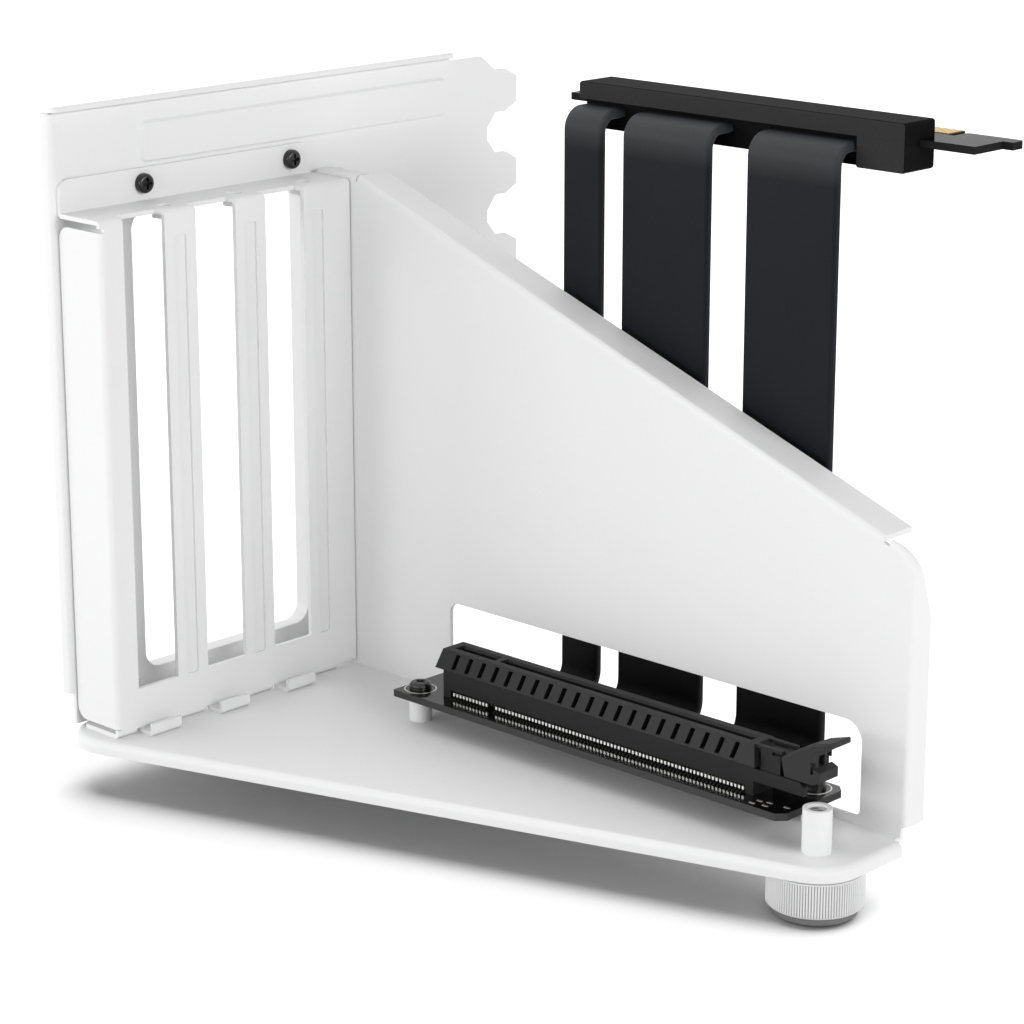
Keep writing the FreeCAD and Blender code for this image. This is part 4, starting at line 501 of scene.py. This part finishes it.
def run_line(name, x):
    """The ribbon's middle line, read from a spline that the route's points guide."""
    curve = bpy.data.curves.new(name + "_line", "CURVE")
    curve.dimensions = "3D"
    curve.resolution_u = ROUTE_STEPS
    spline = curve.splines.new("NURBS")
    spline.points.add(len(RIBBON_ROUTE) - 1)
    for point, (y, z) in zip(spline.points, RIBBON_ROUTE):
        point.co = (x, y * MM, z * MM, 1.0)
    spline.order_u = 3
    spline.use_endpoint_u = True
    guide = bpy.data.objects.new(name + "_line", curve)
    bpy.context.collection.objects.link(guide)
    line = bpy.data.meshes.new_from_object(guide)
    points = [vertex.co.copy() for vertex in line.vertices]
    bpy.data.objects.remove(guide)
    return points


def flat_section(width):
    """Across and out of a flat strip with rounded edges, all the way round."""
    reach = width / 2 - RIBBON_EDGE
    rise = RIBBON_T / 2 - RIBBON_EDGE
    section = []
    for quarter, (side, face) in enumerate([(1, 1), (-1, 1), (-1, -1), (1, -1)]):
        for step in range(EDGE_STEPS + 1):
            angle = math.pi / 2 * (quarter + step / EDGE_STEPS)
            across = side * reach + RIBBON_EDGE * math.cos(angle)
            section.append((across, face * rise + RIBBON_EDGE * math.sin(angle)))
    return section


def strip_mesh(name, line, section):
    """The section carried along a line, closed at both ends."""
    count = len(section)
    last = len(line) - 1
    vertices = []
    for i, point in enumerate(line):
        ahead = (line[min(i + 1, last)] - line[max(i - 1, 0)]).normalized()
        out = Vector((0.0, -ahead.z, ahead.y))
        vertices += [point + Vector((across, 0.0, 0.0)) + out * rise for across, rise in section]
    faces = []
    for start in range(0, last * count, count):
        for k in range(count):
            beside = (k + 1) % count
            faces.append([start + k, start + beside, start + count + beside, start + count + k])
    faces.append(list(range(count))[::-1])
    faces.append([last * count + k for k in range(count)])
    mesh = bpy.data.meshes.new(name)
    mesh.from_pydata(vertices, [], faces)
    mesh.validate()
    return mesh


def make_ribbon(node):
    """One ribbon in the place of its plain CAD strip, with the plug on its far end."""
    low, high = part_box(node)
    width = high.x - low.x
    line = run_line(node, (low.x + high.x) / 2)
    strip = bpy.data.objects.new(node + "_wrap", strip_mesh(node + "_wrap", line, flat_section(width)))
    bpy.context.collection.objects.link(strip)
    bpy.ops.object.select_all(action="DESELECT")
    strip.select_set(True)
    bpy.context.view_layer.objects.active = strip
    bpy.ops.object.mode_set(mode="EDIT")
    bpy.ops.mesh.select_all(action="SELECT")
    bpy.ops.mesh.normals_make_consistent(inside=False)
    bpy.ops.object.mode_set(mode="OBJECT")
    settle(strip, node + "_wrap", "bracket", wrap.material)
    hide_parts(node)


for ribbon_node in ("ribbon_1", "ribbon_2", "ribbon_3"):
    make_ribbon(ribbon_node)


# Plug: a black moulded housing and cover clipped round the end of the ribbons; a painted shade darkens
# all but the cover's front. Its small board has a gold contact edge for a main board's socket.
PLUG_PAINTED_SHADE = (0.0065, 0.0065, 0.0067, 1.0)
PLUG_DARK = (0.028, 0.028, 0.0285, 1.0)
PLUG_PALE = (0.036, 0.036, 0.0365, 1.0)
PLUG_SHINE = 0.01
PLUG_GRAIN = 2400.0
FRONT_DEPTH = 0.3 * MM
plug_plastic = Finish("plug_moulding", IOR=1.5, Specular_IOR_Level=PLUG_SHINE)
satin = plug_plastic.mix(plug_plastic.noise(PLUG_GRAIN, detail=3.0), PLUG_DARK, PLUG_PALE)
# every face but the cover's front gets a painted shade in place of the plastic's own tone
front_side = plug_plastic.along("Y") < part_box("plug_cover")[0].y + FRONT_DEPTH
plug_plastic.set(Base_Color=plug_plastic.mix(front_side, PLUG_PAINTED_SHADE, satin))
mould_skin(plug_plastic, PLUG_GRAIN, rough=0.42)
dress(["plug_housing", "plug_cover"], plug_plastic.material)

PLUG_BOARD_SHINE = 0.02
dress(["plug_board"], solder_mask("plug_solder_mask", "plug_board", PLUG_BOARD_SHINE))

GOLD_PALE = (0.86, 0.62, 0.24, 1.0)
GOLD_RUBBED = (0.74, 0.50, 0.17, 1.0)
RUB_SCALE = 1400.0
gold = Finish("gold_plate", Metallic=1.0)
rub = gold.noise(RUB_SCALE, detail=3.0)
gold.set(Base_Color=gold.mix(rub, GOLD_PALE, GOLD_RUBBED))
gold.set(Roughness=0.22 + 0.2 * rub)
dress(["edge_contacts"], gold.material)


# Studio: a pale paper floor under its own soft sun, a wide sky over the object, and three soft boxes at
# its front, left and right. The camera stands at the photograph's angle.
FLOOR_SPAN = 6.0
FLOOR_COLOUR = (0.62, 0.62, 0.62, 1.0)
FLOOR_SEEN = (0.95, 0.95, 0.95, 1.0)
AIR_COLOUR = (1.0, 1.0, 1.0, 1.0)
AIR_LIGHT = 0.30


def looked_at(shading):
    """One where the camera looks, also by way of a shine or through glass, and nought elsewhere."""
    ray = shading.node("ShaderNodeLightPath", {}, {})
    return ray["Is Camera Ray"] + ray["Is Glossy Ray"] + ray["Is Transmission Ray"]


bpy.ops.object.select_all(action="DESELECT")
bpy.ops.mesh.primitive_plane_add(size=FLOOR_SPAN, location=(0.0, 0.0, 0.0))
floor = bpy.context.object
floor.name = "studio_floor"
paper = Finish("studio_paper")
paper_plain = paper.node("ShaderNodeBsdfDiffuse", {}, {"Color": FLOOR_COLOUR})["BSDF"]
paper_bright = paper.node("ShaderNodeBsdfDiffuse", {}, {"Color": FLOOR_SEEN})["BSDF"]
paper_parts = {0: looked_at(paper), 1: paper_plain, 2: paper_bright}
paper_face = paper.node("ShaderNodeMixShader", {}, paper_parts)["Shader"]
paper.join(paper.tree.nodes["Material Output"].inputs["Surface"], paper_face)
floor.data.materials.append(paper.material)

world = bpy.data.worlds.new("studio_air")
bpy.context.scene.world = world
world.use_nodes = True
air = Shading(world.node_tree)
air_glow = air.tree.nodes["Background"]
air.join(air_glow.inputs["Color"], AIR_COLOUR)
air.join(air_glow.inputs["Strength"], AIR_LIGHT + (1.0 - AIR_LIGHT) * looked_at(air))

bpy.context.scene.view_settings.view_transform = "Standard"


def stand_lamp(name, lamp, place, toward, floor_part):
    """Stands a lamp at a place, shining toward a point, on the floor alone or on all but the floor."""
    stand = bpy.data.objects.new(name, lamp)
    stand.location = place
    stand.rotation_euler = (Vector(place) - Vector(toward)).to_track_quat("Z", "Y").to_euler()
    bpy.context.collection.objects.link(stand)
    reach = bpy.data.collections.new(name + "_reach")
    reach.objects.link(floor)
    reach.collection_objects[0].light_linking.link_state = floor_part
    stand.light_linking.receiver_collection = reach


BOX_AIM = (-0.08, 0.0, 0.07)
SKY_AIM = (0.0, 0.0, 0.0)


def soft_box(name, place, wide, high, watts):
    """A wide soft box that lights the object and not the floor."""
    lamp = bpy.data.lights.new(name, "AREA")
    lamp.shape = "RECTANGLE"
    lamp.size = wide
    lamp.size_y = high
    lamp.energy = watts
    stand_lamp(name, lamp, place, BOX_AIM, "EXCLUDE")


def wide_sky(name, place, spread_deg, strength, floor_part):
    """An even light from one side of the sky."""
    lamp = bpy.data.lights.new(name, "SUN")
    lamp.angle = math.radians(spread_deg)
    lamp.energy = strength
    stand_lamp(name, lamp, place, SKY_AIM, floor_part)


soft_box("front_box", place=(-0.20, -1.53, 0.36), wide=1.4, high=0.36, watts=8.4)
soft_box("right_box", place=(1.38, 0.10, 0.62), wide=1.4, high=0.36, watts=14.0)
soft_box("left_box", place=(-1.15, -1.05, 0.45), wide=1.0, high=0.5, watts=7.5)
wide_sky("object_sky", place=(-0.45, 0.20, 0.84), spread_deg=60.0, strength=1.35, floor_part="EXCLUDE")
wide_sky("floor_sky", place=(-0.05, 0.42, 0.90), spread_deg=80.0, strength=4.2, floor_part="INCLUDE")

EYE = (0.3536, -0.4608, 0.2502)
LOOK_DOWN = 16.043
LOOK_ROUND = 43.555
SENSOR_MM = 36.0
LENS_MM = 108.44
camera = bpy.data.cameras.new("photo_camera")
camera.sensor_width = SENSOR_MM
camera.lens = LENS_MM
viewer = bpy.data.objects.new("photo_camera", camera)
viewer.location = EYE
viewer.rotation_euler = (math.radians(90.0 - LOOK_DOWN), 0.0, math.radians(LOOK_ROUND))
bpy.context.collection.objects.link(viewer)
bpy.context.scene.camera = viewer
